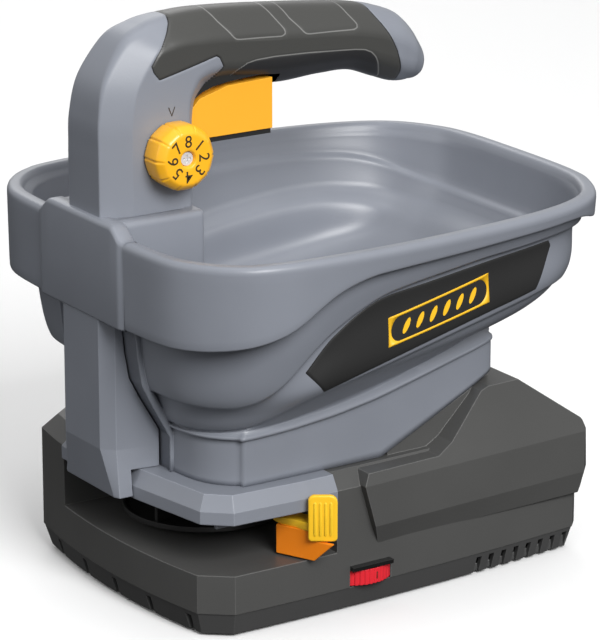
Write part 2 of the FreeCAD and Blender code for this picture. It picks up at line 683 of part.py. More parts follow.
def handle_form(inset=0.0, skip_ends=0):
    wires = [station_wire(station, inset) for station in STATIONS[:len(STATIONS) - skip_ends]]
    column = Part.makeLoft(wires[:BEND_STATION + 1], True, False)
    grip = Part.makeLoft(wires[BEND_STATION:], True, False)
    return column.fuse(grip)


GRIP_TOP_SPLIT = 267.4     # joint between the upper grip and its lower inset


def grip_zone(slack=0.0):
    """Side view of the stretch that the rubber covers."""
    return slab([(-91.0 + slack, 300), (-99.5 + slack, 272), (-95.0 + slack, 264.5), (-60.5 + slack, 266.2),
                 (-60.5 + slack, 240), (33.0 - slack, 240), (41.0 - slack, 262), (24.0 - slack, 300)],
                -30, 30)


def trigger_slot():
    return fuse([
        box(-77.8, -26.8, -TRIGGER_HALF - 0.4, TRIGGER_HALF + 0.4, 220, 268.5),
        box(-110, -60, -7.4, 7.4, 252, 270.5),
    ])


def handle_half(side):
    """One moulded half of the handle; the halves meet on the centre plane."""
    outer = handle_form()
    core = handle_form(2.0)
    solid = outer.cut(grip_zone()).fuse(core.common(grip_zone(-0.5)))
    shell = solid.cut(handle_form(4.6, 2)).cut(trigger_slot())
    shell = shell.cut(box(-125, -84, -15, 15, 195, 206))
    shell = shell.cut(across(KNOB_X, KNOB_Z, -30, -5, 4.06))
    half_space = box(-150, 100, 0.01, 40, 180, 310) if side > 0 else box(-150, 100, -40, -0.01, 180, 310)
    shell = shell.common(half_space)
    inside = handle_form(2.2)
    bosses = [across(TRIGGER_PIVOT.x, TRIGGER_PIVOT.z, 7.6, 16.0, 4.5)]
    bosses += [across(x, z, 0.01, 19.0, 3.8).common(inside) for x, z in HANDLE_SCREW_SPOTS]
    bosses.append(box(-24, -10, 6.02, 18.0, 271.5, 280.5).common(inside))
    for boss in bosses:
        shell = shell.fuse(boss if side > 0 else mirrored(boss))
    for x, z in HANDLE_SCREW_SPOTS:
        shell = shell.cut(across(x, z, -9.5, 20, 1.5))
        shell = shell.cut(across(x, z, 10.0, 25, 3.2))
    return shell.cut(across(TRIGGER_PIVOT.x, TRIGGER_PIVOT.z, -12, 12, 2.0))


def grip_skin():
    skin = handle_form().cut(handle_form(2.04))
    skin = skin.common(grip_zone(0.15)).cut(trigger_slot())
    for x, z in HANDLE_SCREW_SPOTS:
        skin = skin.cut(across(x, z, 10.0, 25, 3.2))
    return skin


def grip_overmold():
    return grip_skin().common(box(-150, 100, -40, 40, GRIP_TOP_SPLIT, 310))


def grip_inset():
    return grip_skin().common(box(-60, 100, -40, 40, 230, GRIP_TOP_SPLIT - 0.2))


def handle_screws():
    screws = []
    for x, z in HANDLE_SCREW_SPOTS:
        screws.append(fuse([across(x, z, 10.0, 12.0, 3.0), across(x, z, -9.0, 11.0, 1.4)]))
    return Part.makeCompound(screws)


# ---- trigger and knob --------------------------------------------------------------------------
def trigger():
    side = [
        (-30.0, 257.0), (-30.0, 231.3), (-73.0, 231.3), (-76.6, 236.0), (-76.8, 246.5), (-72.0, 251.4),
        (-55.8, 256.0),
    ]
    body = slab(side, -TRIGGER_HALF, TRIGGER_HALF)
    web = slab([(-74, 250), (-76, 262), (-70, 267), (-46, 257), (-46, 250)], -6.8, 6.8)
    spring_seat = upright(-42, 0, 256, 263, 5.2)
    arm = slab([(ROD_X, 260), (ROD_X, 264), (-70, 266), (-70, 258)], -4, 4)
    tip = across(ROD_X, TRIGGER_PIVOT.z, -4, 4, 3.0)
    body = fuse([body, web, spring_seat, arm, tip])
    return body.cut(across(TRIGGER_PIVOT.x, TRIGGER_PIVOT.z, -9, 9, 2.05))


def trigger_pad():
    outline = [(-30.4, 231.3), (-30.4, 228.6), (-70.0, 228.6), (-73.0, 231.3)]
    return slab(outline, -11.5, 11.5)


def trigger_pin():
    return across(TRIGGER_PIVOT.x, TRIGGER_PIVOT.z, -12.0, 12.0, 2.0)


def trigger_switch():
    body = box(-26, -8, -6, 6, 271, 281)
    lever = box(-29, -9, -2, 2, 269.4, 270.0)
    foot = box(-10, -9, -2, 2, 269.4, 271.5)
    return fuse([body, lever, foot])


def flow_knob():
    body = across(KNOB_X, KNOB_Z, KNOB_FACE_Y, KNOB_BACK_Y, KNOB_R)
    rim = [edge for edge in body.Edges if abs(edge.BoundBox.YMin - KNOB_FACE_Y) < 0.1 and edge.Length > 50]
    body = body.makeChamfer(3.2, rim)
    flute_count = 10
    for index in range(flute_count):
        angle = 2 * math.pi * (index + 0.5) / flute_count
        x = KNOB_X + (KNOB_R + 1.3) * math.cos(angle)
        z = KNOB_Z + (KNOB_R + 1.3) * math.sin(angle)
        body = body.cut(across(x, z, KNOB_FACE_Y - 1, KNOB_BACK_Y + 1, 2.4))
    body = body.cut(across(KNOB_X, KNOB_Z, KNOB_FACE_Y - 1, KNOB_FACE_Y + 3.6, 5.2))
    shaft = across(KNOB_X, KNOB_Z, KNOB_BACK_Y - 1, -8.0, 4.0)
    return fuse([body, shaft]).cut(across(KNOB_X, KNOB_Z, KNOB_FACE_Y, -22, 1.5))


def knob_screw():
    head = across(KNOB_X, KNOB_Z, KNOB_FACE_Y + 1.6, KNOB_FACE_Y + 3.6, 3.4)
    shank = across(KNOB_X, KNOB_Z, KNOB_FACE_Y + 3.0, -24.0, 1.45)
    cross = [box(KNOB_X - 2, KNOB_X + 2, KNOB_FACE_Y, KNOB_FACE_Y + 2.4, KNOB_Z - 0.4, KNOB_Z + 0.4),
             box(KNOB_X - 0.4, KNOB_X + 0.4, KNOB_FACE_Y, KNOB_FACE_Y + 2.4, KNOB_Z - 2, KNOB_Z + 2)]
    return fuse([head, shank]).cut(cross[0]).cut(cross[1])


def flow_cam():
    """A snail cam on the knob's shaft that sets how far the trigger can go."""
    points = []
    steps = 16
    for step in range(steps):
        angle = 2 * math.pi * step / steps
        radius = 5.2 + 2.3 * step / steps
        points.append((KNOB_X + radius * math.cos(angle), KNOB_Z + radius * math.sin(angle)))
    cam = slab(points, -12.0, -8.4)
    return cam.cut(across(KNOB_X, KNOB_Z, -20, 0, 4.02))


# ---- speed dial --------------------------------------------------------------------------------
def speed_dial():
    wheel = upright(DIAL_X, DIAL_Y, DIAL_Z0, DIAL_Z1, DIAL_R)
    tooth_count = 48
    for index in range(tooth_count):
        angle = 2 * math.pi * index / tooth_count
        x = DIAL_X + DIAL_R * math.cos(angle)
        y = DIAL_Y + DIAL_R * math.sin(angle)
        wheel = wheel.cut(upright(x, y, DIAL_Z0 - 1, DIAL_Z1 + 1, 0.55))
    return wheel.cut(upright(DIAL_X, DIAL_Y, 10, 30, 3.02))


def speed_control():
    body = box(DIAL_X - 9, DIAL_X + 9, DIAL_Y - 9, DIAL_Y + 9, DIAL_Z1 + 0.6, 28)
    post = upright(DIAL_X, DIAL_Y, TRAY_BOTTOM + WALL, 27, 3.0)
    return fuse([body, post])


def dial_hood():
    return box(DIAL_X - 12, DIAL_X + 12, -90.8, -85.0, DIAL_Z1 + 0.6, HOOD_TOP_Z)


# ---- side deflector ----------------------------------------------------------------------------
DEFLECT_DX = 0.418         # unit vector along the flap, seen from above
DEFLECT_DY = -0.908
FLAP_ROOT = V(-65.2, -76.6, 0)
FLAP_BOTTOM = DECK_Z + 1.1
TAB_THICK = 2.6            # thickness of the deflector lever's tab
ARM_Z0 = 49.0
ARM_Z1 = 53.0


def deflector_flap():
    start, tip, reach = -4.0, 18.0, 28.0
    outline = [(start, ARM_Z0), (start, FLAP_BOTTOM), (tip, FLAP_BOTTOM), (reach, FLAP_BOTTOM + 9.5),
               (reach, ARM_Z0)]
    points = [V(FLAP_ROOT.x + DEFLECT_DX * t, FLAP_ROOT.y + DEFLECT_DY * t, z) for t, z in outline]
    flap = Part.Face(wire(points)).extrude(V(-DEFLECT_DY * 2.2, DEFLECT_DX * 2.2, 0))
    return flap.cut(deflector_lever())


def deflector_lever():
    plan = [(-65.4, -68), (-65.4, -75), (-61.9, -82), (-59.0, -93.2), (-53.6, -96.4), (-50.5, -92.0),
            (-47.5, -86), (-53.4, -77), (-53.4, -68)]
    arm = prism(plan, ARM_Z0, ARM_Z1)
    shoe = box(-65.4, -53.4, -74.8, -66.2 - 1.2, ARM_Z1 - 1, PLATE_BOTTOM_Z - GAP)
    centre, width = V(-54.0, -95.0, 0), V(0.835, -0.55, 0)
    half, corner, low, high = 7.2, 2.2, 44.8, 68.7
    outline = [(-half, low + corner), (-half + corner, low), (half - corner, low), (half, low + corner),
               (half, high - corner * 1.6), (half - corner * 1.6, high), (-half + corner, high),
               (-half, high - corner)]
    points = [V(centre.x + width.x * t, centre.y + width.y * t, z) for t, z in outline]
    tab = Part.Face(wire(points)).extrude(V(-0.55 * TAB_THICK, -0.835 * TAB_THICK, 0))
    return fuse([arm, shoe, tab])


# ---- the nodes ---------------------------------------------------------------------------------
NODES = {
    "base_tray": base_tray,
    "rubber_feet": rubber_feet,
    "base_screws": base_screws,
    "base_housing": base_housing,
    "battery_bay": battery_bay,
    "battery_pack": battery_pack,
    "battery_latch": battery_latch,
    "terminal_block": terminal_block,
    "control_board": control_board,
    "motor": motor,
    "motor_screws": motor_screws,
    "drive_shaft": drive_shaft,
    "impeller": impeller,
    "impeller_nut": impeller_nut,
    "agitator": agitator,
    "discharge_plate": discharge_plate,
    "flow_gate": flow_gate,
    "gate_crank": gate_crank,
    "crank_pin": crank_pin,
    "pull_rod": pull_rod,
    "rod_spring": rod_spring,
    "hopper": hopper,
    "label_panel_right": label_panel_right,
    "label_panel_left": lambda: mirrored(label_panel_right()),
    "front_column": front_column,
    "handle_left_shell": lambda: handle_half(1),
    "handle_right_shell": lambda: handle_half(-1),
    "grip_overmold": grip_overmold,
    "grip_inset": grip_inset,
    "handle_screws": handle_screws,
    "trigger": trigger,
    "trigger_pad": trigger_pad,
    "trigger_pin": trigger_pin,
    "trigger_spring": trigger_spring,
    "trigger_switch": trigger_switch,
    "flow_knob": flow_knob,
    "knob_screw": knob_screw,
    "flow_cam": flow_cam,
    "speed_dial": speed_dial,
    "speed_control": speed_control,
    "dial_hood": dial_hood,
    "deflector_flap": deflector_flap,
    "deflector_lever": deflector_lever,
}


def main():
    os.makedirs("parts", exist_ok=True)
    for name, build in NODES.items():
        shape = build()
        print(name, shape.isValid(), len(shape.Solids), round(shape.Volume))
        shape.exportStep("parts/" + name + ".step")


main()
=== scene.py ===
"""Looks of the hand-held garden spreader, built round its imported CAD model."""

import math

import bmesh
import bpy
import numpy as np
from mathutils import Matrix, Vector


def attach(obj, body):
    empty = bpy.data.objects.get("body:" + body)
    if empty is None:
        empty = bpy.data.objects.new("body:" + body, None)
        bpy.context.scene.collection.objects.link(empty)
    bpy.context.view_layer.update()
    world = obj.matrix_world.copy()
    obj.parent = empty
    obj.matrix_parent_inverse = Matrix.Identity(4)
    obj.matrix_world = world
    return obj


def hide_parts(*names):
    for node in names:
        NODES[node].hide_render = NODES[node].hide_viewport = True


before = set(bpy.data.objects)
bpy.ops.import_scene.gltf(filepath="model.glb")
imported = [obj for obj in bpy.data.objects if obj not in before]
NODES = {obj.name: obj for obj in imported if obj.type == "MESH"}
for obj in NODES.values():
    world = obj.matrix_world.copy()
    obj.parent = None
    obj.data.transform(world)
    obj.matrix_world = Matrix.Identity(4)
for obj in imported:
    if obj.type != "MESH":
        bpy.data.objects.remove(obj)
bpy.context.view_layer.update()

MM = 0.001

# ---- driving dimensions, in millimetres in the row frame ----
RIM_Z = 194.6
RIM_FRONT, RIM_REAR, RIM_HALF = -132.6, 134.2, 118.1
LIP = 7.6
BLOCK_FRONT, BLOCK_REAR, BLOCK_HALF, BLOCK_Z = -134.2, -79.0, 30.0, 201.0
PLATE_TOP = 73.0
NECK_SEAM_X, NECK_SEAM_Z, NECK_SEAM_SLOPE = -2.0, 75.0, 0.45
KNOB_X, KNOB_Z, KNOB_R, KNOB_FACE, KNOB_BACK = -92.5, 229.0, 16.3, -35.6, -20.6
TRIGGER_HALF = 12.5
CURVE_STEPS = 24           # points along each span of an outline


# ---- numbers ----
def smooth(low, high, value):
    t = np.clip((np.asarray(value, float) - low) / (high - low), 0.0, 1.0)
    return t * t * (3 - 2 * t)


def line(points, x):
    """Height of a line given by a few (x, height) points, with its corners eased."""
    xs = np.array([p[0] for p in points], float)
    ys = np.array([p[1] for p in points], float)
    x = np.asarray(x, float)
    spread = (-6.0, -3.0, 0.0, 3.0, 6.0)
    return sum(np.interp(x + d, xs, ys) for d in spread) / len(spread)


def cubic(knots, values, tangent, t):
    """Rows of values at t, along cubic curves with those tangents at the knots."""
    k = np.clip(np.searchsorted(knots, t, side="right") - 1, 0, len(knots) - 2)
    h = np.diff(knots)[k][:, None]
    u = (t - knots[k])[:, None] / h
    return ((2 * u**3 - 3 * u**2 + 1) * values[k] + (u**3 - 2 * u**2 + u) * h * tangent[k]
            + (3 * u**2 - 2 * u**3) * values[k + 1] + (u**3 - u**2) * h * tangent[k + 1])


def hermite(knots, values, t):
    """Smooth interpolation that never overshoots its knots."""
    slope = np.diff(values, axis=0) / np.diff(knots)[:, None]
    inner = np.where(slope[1:] * slope[:-1] > 0,
                     2 * slope[1:] * slope[:-1] / (slope[1:] + slope[:-1] + 1e-12), 0.0)
    return cubic(knots, values, np.concatenate([slope[:1], inner, slope[-1:]]), t)


def hermite_smooth(knots, values, t):
    """Smooth interpolation with plain central tangents."""
    return cubic(knots, values, np.gradient(values, knots, axis=0), t)


def catmull(points, count, closed):
    """Points spaced evenly by length along a smooth curve through the given ones."""
    p = np.asarray(points, float)
    n = len(p)
    spans = n if closed else n - 1
    out = []
    for i in range(spans):
        if closed:
            a, b, c, d = p[(i - 1) % n], p[i], p[(i + 1) % n], p[(i + 2) % n]
        else:
            a, b, c, d = p[max(i - 1, 0)], p[i], p[i + 1], p[min(i + 2, n - 1)]
        for t in np.linspace(0, 1, CURVE_STEPS, endpoint=False):
            out.append(0.5 * (2 * b + (c - a) * t + (2 * a - 5 * b + 4 * c - d) * t**2
                              + (3 * b - a - 3 * c + d) * t**3))
    out.append(p[0] if closed else p[-1])
    out = np.array(out)
    length = np.concatenate([[0], np.cumsum(np.linalg.norm(np.diff(out, axis=0), axis=1))])
    wanted = np.linspace(0, length[-1], count, endpoint=not closed)
    return np.stack([np.interp(wanted, length, out[:, k]) for k in range(p.shape[1])], axis=1)


def both_sides(half):
    """A closed plan outline from its half with y above zero, front to rear."""
    far = [p for p in reversed(half) if p[1] > 0]
    return half + [(x, -y) for x, y in far]


# ---- mesh building ----
def make_object(name, verts, faces, material, sharp=None):
    mesh = bpy.data.meshes.new(name)
    mesh.from_pydata([tuple(v * MM for v in p) for p in verts], [], faces)
    mesh.validate()
    bm = bmesh.new()
    bm.from_mesh(mesh)
    bmesh.ops.remove_doubles(bm, verts=bm.verts, dist=1e-6)
    bmesh.ops.recalc_face_normals(bm, faces=bm.faces)
    bm.to_mesh(mesh)
    bm.free()
    mesh.materials.append(material)
    for polygon in mesh.polygons:
        polygon.use_smooth = True
    if sharp:
        mesh.set_sharp_from_angle(angle=math.radians(sharp))
    obj = bpy.data.objects.new(name, mesh)
    bpy.context.scene.collection.objects.link(obj)
    return obj


def grid_faces(rows, columns, closed, start=0):
    faces = []
    span = columns if closed else columns - 1
    for r in range(rows - 1):
        for c in range(span):
            d = (c + 1) % columns
            faces.append((start + r * columns + c, start + r * columns + d,
                          start + (r + 1) * columns + d, start + (r + 1) * columns + c))
    return faces


class Builder:
    """Collects several surfaces into one mesh."""

    def __init__(self):
        self.verts = []
        self.faces = []

    def rows(self, rows, closed=True, cap_first=False, cap_last=False):
        start = len(self.verts)
        columns = len(rows[0])
        for row in rows:
            self.verts.extend([tuple(map(float, p)) for p in row])
        self.faces.extend(grid_faces(len(rows), columns, closed, start))
        if cap_first:
            self.faces.append(tuple(range(start, start + columns)))
        if cap_last:
            last = start + (len(rows) - 1) * columns
            self.faces.append(tuple(range(last, last + columns)))
        return self

    def done(self, name, material, sharp=None):
        return make_object(name, self.verts, self.faces, material, sharp)


# ---- materials ----
def link(tree, a, b):
    tree.links.new(a, b)


DRIFT_SCALE = 14.0         # slow drift of colour and gloss
GRAIN_DEPTH = 0.06 * MM
EDGE_HIGHLIGHT_GAIN, EDGE_HIGHLIGHT_LIFT = 2.1, 0.03    # how much lighter an edge is painted: a painted highlight
EDGE_HIGHLIGHT_TURN = 0.86           # cosine of the turn at which an edge's painted highlight is full


def node(tree, kind, values=None):
    """A new shader node, with the given values on its inputs."""
    made = tree.nodes.new("ShaderNode" + kind)
    for name, value in (values or {}).items():
        made.inputs[name].default_value = value
    return made


def plastic(name, colour, rough=0.45, grain=0.5, edge=0.35, coat=0.0, metal=0.0, spec=0.5, tint=0.06,
            cells=900.0, radius=0.6):
    """Moulded material: fine spark-eroded grain, slight colour drift and a painted highlight that lightens
    rounded edges, its strength set by edge.
    """
    material = bpy.data.materials.new(name)
    material.use_nodes = True
    tree = material.node_tree
    shader = tree.nodes["Principled BSDF"]
    for socket, value in (("Metallic", metal), ("Specular IOR Level", spec), ("Coat Weight", coat),
                          ("Coat Roughness", 0.15)):
        shader.inputs[socket].default_value = value
    place = node(tree, "TexCoord")

    drift = node(tree, "TexNoise", {"Scale": DRIFT_SCALE, "Detail": 4.0})
    link(tree, place.outputs["Object"], drift.inputs["Vector"])
    shade = node(tree, "ValToRGB")
    for stop, position, share in zip(shade.color_ramp.elements, (0.3, 0.7), (1 - tint, 1 + tint)):
        stop.position = position
        stop.color = (*[min(c * share, 1.0) for c in colour], 1)
    link(tree, drift.outputs["Fac"], shade.inputs["Fac"])

    fine = node(tree, "TexNoise", {"Scale": cells, "Detail": 2.0})
    link(tree, place.outputs["Object"], fine.inputs["Vector"])
    round_edge = node(tree, "Bevel", {"Radius": radius * MM})
    round_edge.samples = 4
    bump = node(tree, "Bump", {"Strength": grain, "Distance": GRAIN_DEPTH})
    link(tree, fine.outputs["Fac"], bump.inputs["Height"])
    link(tree, round_edge.outputs["Normal"], bump.inputs["Normal"])
    link(tree, bump.outputs["Normal"], shader.inputs["Normal"])

    # painted highlight: the colour is lightened where the rounded-edge normal turns away from the true
    # normal, standing in for light on convex edges
    geometry = node(tree, "NewGeometry")
    turn = node(tree, "VectorMath")
    turn.operation = "DOT_PRODUCT"
    link(tree, round_edge.outputs["Normal"], turn.inputs[0])
    link(tree, geometry.outputs["Normal"], turn.inputs[1])
    painted_edge_highlight = node(tree, "MapRange", {"From Min": 1.0, "From Max": EDGE_HIGHLIGHT_TURN, "To Min": 0.0, "To Max": edge})
    link(tree, turn.outputs["Value"], painted_edge_highlight.inputs["Value"])
    mix = node(tree, "Mix")
    mix.data_type = "RGBA"
    mix.inputs["B"].default_value = (*[min(c * EDGE_HIGHLIGHT_GAIN + EDGE_HIGHLIGHT_LIFT, 1.0) for c in colour], 1)
    link(tree, painted_edge_highlight.outputs["Result"], mix.inputs["Factor"])
    link(tree, shade.outputs["Color"], mix.inputs["A"])
    link(tree, mix.outputs["Result"], shader.inputs["Base Color"])

    gloss = node(tree, "MapRange", {"To Min": rough - 0.05, "To Max": rough + 0.05})
    link(tree, drift.outputs["Fac"], gloss.inputs["Value"])
    link(tree, gloss.outputs["Result"], shader.inputs["Roughness"])
    return material


def srgb(r, g, b):
    """Linear colour from 0 to 255 display values."""
    def one(v):
        v /= 255
        return v / 12.92 if v <= 0.04045 else ((v + 0.055) / 1.055) ** 2.4
    return (one(r), one(g), one(b))


GREY = srgb(130, 134, 143)
# edge sets how strong each material's painted edge highlight is
MAT = {
    "grey": plastic("grey_plastic", GREY, rough=0.38, grain=0.45, edge=0.55, radius=0.8),
    "grey_satin": plastic("grey_satin_plastic", GREY, rough=0.36, grain=0.3),
    "dark": plastic("dark_plastic", srgb(78, 78, 77), rough=0.46, grain=0.7, edge=0.95, radius=0.7),
    "tray": plastic("tray_plastic", srgb(76, 76, 76), rough=0.5, grain=0.7, edge=0.7),
    "rubber": plastic("grip_rubber", srgb(62, 62, 60), rough=0.48, grain=0.8, edge=0.2, cells=1500),
    "inset": plastic("inset_rubber", srgb(40, 40, 41), rough=0.42, grain=0.8, edge=0.2, cells=1500),
    "panel": plastic("panel_film", srgb(44, 44, 44), rough=0.5, grain=0.25, edge=0.2, spec=0.25, cells=1800),
    "badge": plastic("badge_yellow", srgb(255, 196, 40), rough=0.4, grain=0.2, edge=0.1, tint=0.03),
    "black": plastic("black_plastic", srgb(34, 34, 34), rough=0.45, grain=0.6),
    "gloss_black": plastic("gloss_black", srgb(26, 26, 26), rough=0.2, grain=0.1, coat=0.3),
    "yellow": plastic("yellow_plastic", srgb(250, 182, 34), rough=0.32, grain=0.2, edge=0.3, tint=0.03,
                      coat=0.15),
    "tab": plastic("tab_yellow", srgb(255, 200, 44), rough=0.32, grain=0.2, edge=0.3, tint=0.03, coat=0.15),
    "orange": plastic("trigger_orange", srgb(252, 176, 46), rough=0.4, grain=0.25, edge=0.2, tint=0.03),
    "flap": plastic("flap_orange", srgb(250, 138, 22), rough=0.35, grain=0.2, edge=0.3, tint=0.03),
    "red": plastic("dial_red", srgb(230, 44, 56), rough=0.34, grain=0.2, edge=0.3, tint=0.04, coat=0.1),
    "ink": plastic("digit_ink", srgb(58, 46, 22), rough=0.5, grain=0.1, edge=0.0),
    "chrome": plastic("chrome", srgb(235, 235, 238), rough=0.2, grain=0.05, edge=0.0, metal=0.35),
    "steel": plastic("steel", srgb(170, 170, 175), rough=0.32, grain=0.2, edge=0.1, metal=1.0),
    "foot": plastic("foot_rubber", srgb(28, 28, 28), rough=0.7, grain=0.9, edge=0.1),
    "board": plastic("board_green", srgb(30, 92, 52), rough=0.4, grain=0.3, edge=0.1),
    "brass": plastic("contact_brass", srgb(205, 165, 90), rough=0.3, grain=0.2, edge=0.1, metal=1.0),
}

NODES_OF = {
    "tray": "base_tray", "foot": "rubber_feet", "dark": "base_housing", "brass": "terminal_block",
    "board": "control_board", "rubber": "grip_overmold", "inset": "grip_inset", "orange": "trigger",
    "chrome": "knob_screw", "red": "speed_dial", "gloss_black": "dial_hood", "flap": "deflector_flap",
    "tab": "deflector_lever", "yellow": "battery_latch flow_knob",
    "panel": "label_panel_right label_panel_left",
    "grey": "discharge_plate hopper front_column handle_left_shell handle_right_shell",
    "black": "battery_bay battery_pack impeller agitator flow_gate gate_crank pull_rod trigger_pad"
             " trigger_switch flow_cam speed_control",
    "steel": "base_screws motor motor_screws drive_shaft impeller_nut crank_pin rod_spring"
             " handle_screws trigger_pin trigger_spring",
}
for key, names in NODES_OF.items():
    for node_name in names.split():
        data = NODES[node_name].data
        data.materials.clear()
        data.materials.append(MAT[key])


# ---- hopper ----
RIM_OUTLINE = both_sides([
    (RIM_FRONT, 0), (RIM_FRONT - 0.2, 45), (-128.3, 81.4), (-109.5, 106.5), (-81.0, 116.3),
    (-25.6, RIM_HALF), (37.0, 113.4), (82.0, 105.0), (111.0, 90.8), (127.0, 68.0), (133.0, 44.0),
    (RIM_REAR, 0),
])
NECK_OUTLINE = both_sides([
    (-105.0, 0), (-104.0, 40), (-100.0, 60), (-89.0, 73), (-75.0, 76.4), (48.0, 73.0), (66.0, 64.0),
    (75.0, 45.0), (76.5, 0),
])
# front, rear, half width, height at the front, climb towards the rear
LEVELS = np.array([
    (-105.0, 74.0, 76.5, 95.0, 0.165),
    (-110.5, 87.0, 86.0, 106.0, 0.140),
    (-117.0, 107.0, 97.0, 120.0, 0.100),
    (-119.5, 118.5, 102.0, 140.0, 0.050),
    (-121.5, 126.5, 107.0, 165.0, 0.020),
    (-125.0, 129.1, 113.0, RIM_Z, 0.0),
])
SKIRT_EDGE = [
    (-140.0, 150.5), (-127.4, 151.3), (-119.0, 152.5), (-104.8, 154.8), (-88.7, 159.0), (-81.0, 162.4),
    (-68.0, 171.6), (-57.0, 177.9), (-40.0, 182.4), (-13.7, 183.8), (46.0, 185.8), (88.0, 186.6),
    (104.0, 185.5), (114.0, 181.0), (140.0, 181.0),
]
FOLD = [
    (-118, 117.0), (-104, 116.0), (-94, 118.2), (-84, 123.4), (-76.5, 128.5), (-72, 134.8), (-62, 147.5),
    (-52, 156.0), (-40, 163.5), (-29, 168.6), (-10, 172.0), (27, 176.5), (74, 178.6), (110, 178.0),
    (130, 176.0),
]
SECOND_FOLD = [
    (-118, 99.5), (-99.8, 101.8), (-88.4, 102.9), (-78.7, 107.0), (-69.0, 113.0), (-57.0, 119.6),
    (-35.8, 126.6), (-12.8, 132.8), (17.2, 140.2), (47.2, 146.6), (72.0, 150.6), (95, 150.5),
    (130, 147.0),
]
BEAD = [
    (-118, 96.0), (-96, 98.0), (-83.5, 97.7), (-61, 98.8), (-34.5, 101.5), (-10, 105.6), (18.3, 112.6),
    (45.7, 120.0), (76, 127.0),
]
INNER_LEDGE = [(-125, 176.0), (-60, 176.0), (4, 179.8), (31, 181.4), (56, 181.3), (85, 179.2),
               (101, 175.5), (121, 167.2), (134, 163.0)]
LOWER_LEDGE = [(-125, 140.0), (-60, 142.0), (-19, 150.4), (12, 156.0), (43, 160.0), (68.7, 161.1),
               (94.5, 158.7), (120, 154.0), (134, 152.0)]
COLUMNS = 420

rim = catmull(RIM_OUTLINE, COLUMNS, True)
U = (rim[:, 0] - RIM_FRONT) / (RIM_REAR - RIM_FRONT)
W = rim[:, 1] / RIM_HALF
along = np.roll(rim, -1, axis=0) - np.roll(rim, 1, axis=0)
along /= np.linalg.norm(along, axis=1)[:, None]
OUT = np.stack([along[:, 1], -along[:, 0]], axis=1)
if np.sum(OUT * (rim - rim.mean(axis=0))) < 0:
    OUT = -OUT

LAST_LEVEL = len(LEVELS) - 1
level_values = hermite(np.arange(LAST_LEVEL + 1), LEVELS, np.linspace(0, LAST_LEVEL, 101))
BOWL_X = level_values[:, 0:1] + U[None, :] * (level_values[:, 1:2] - level_values[:, 0:1])
BOWL_Y = W[None, :] * level_values[:, 2:3]
BOWL_Z = level_values[:, 3:4] + level_values[:, 4:5] * (BOWL_X - level_values[:, 0:1])


def bowl_row(z, offset):
    """Points of the bowl's wall at each column's height z, moved outwards by offset."""
    z = np.broadcast_to(np.asarray(z, float), (COLUMNS,))
    offset = np.broadcast_to(np.asarray(offset, float), (COLUMNS,))
    x = np.array([np.interp(z[c], BOWL_Z[:, c], BOWL_X[:, c]) for c in range(COLUMNS)])
    y = np.array([np.interp(z[c], BOWL_Z[:, c], BOWL_Y[:, c]) for c in range(COLUMNS)])
    return np.stack([x + OUT[:, 0] * offset, y + OUT[:, 1] * offset, z], axis=1)


def rim_row(inset, z):
    """Points round the rim, moved inwards by inset."""
    z = np.broadcast_to(np.asarray(z, float), (COLUMNS,))
    return np.stack([rim[:, 0] - OUT[:, 0] * inset, rim[:, 1] - OUT[:, 1] * inset, z], axis=1)


level_x = {k: LEVELS[k, 0] + U * (LEVELS[k, 1] - LEVELS[k, 0]) for k in range(LAST_LEVEL + 1)}
Z_SKIRT = line(SKIRT_EDGE, rim[:, 0])
Z_FOLD = line(FOLD, level_x[3])
Z_SECOND = line(SECOND_FOLD, level_x[2])
Z_BEAD = line(BEAD, level_x[0])
SHOULDER = 4.2 * smooth(-95, -55, level_x[2]) * (1 - 0.6 * smooth(70, 110, level_x[2]))
BEAD_WIDTH = 2.4 + 2.6 * smooth(-30, 55, level_x[0])


def group(z0, z1, o0, o1, steps, bulge=0.0):
    """Rows of the bowl from height z0 to z1, with the offset easing from o0 to o1."""
    rows = []
    for t in np.linspace(0, 1, steps):
        ease = t * t * (3 - 2 * t)
        rows.append(bowl_row(z0 + (z1 - z0) * t, o0 + (o1 - o0) * ease + bulge * math.sin(math.pi * t)))
    return rows


BLOCK_RAMP_X = -100.0      # ahead of this the rim rises to the handle's block


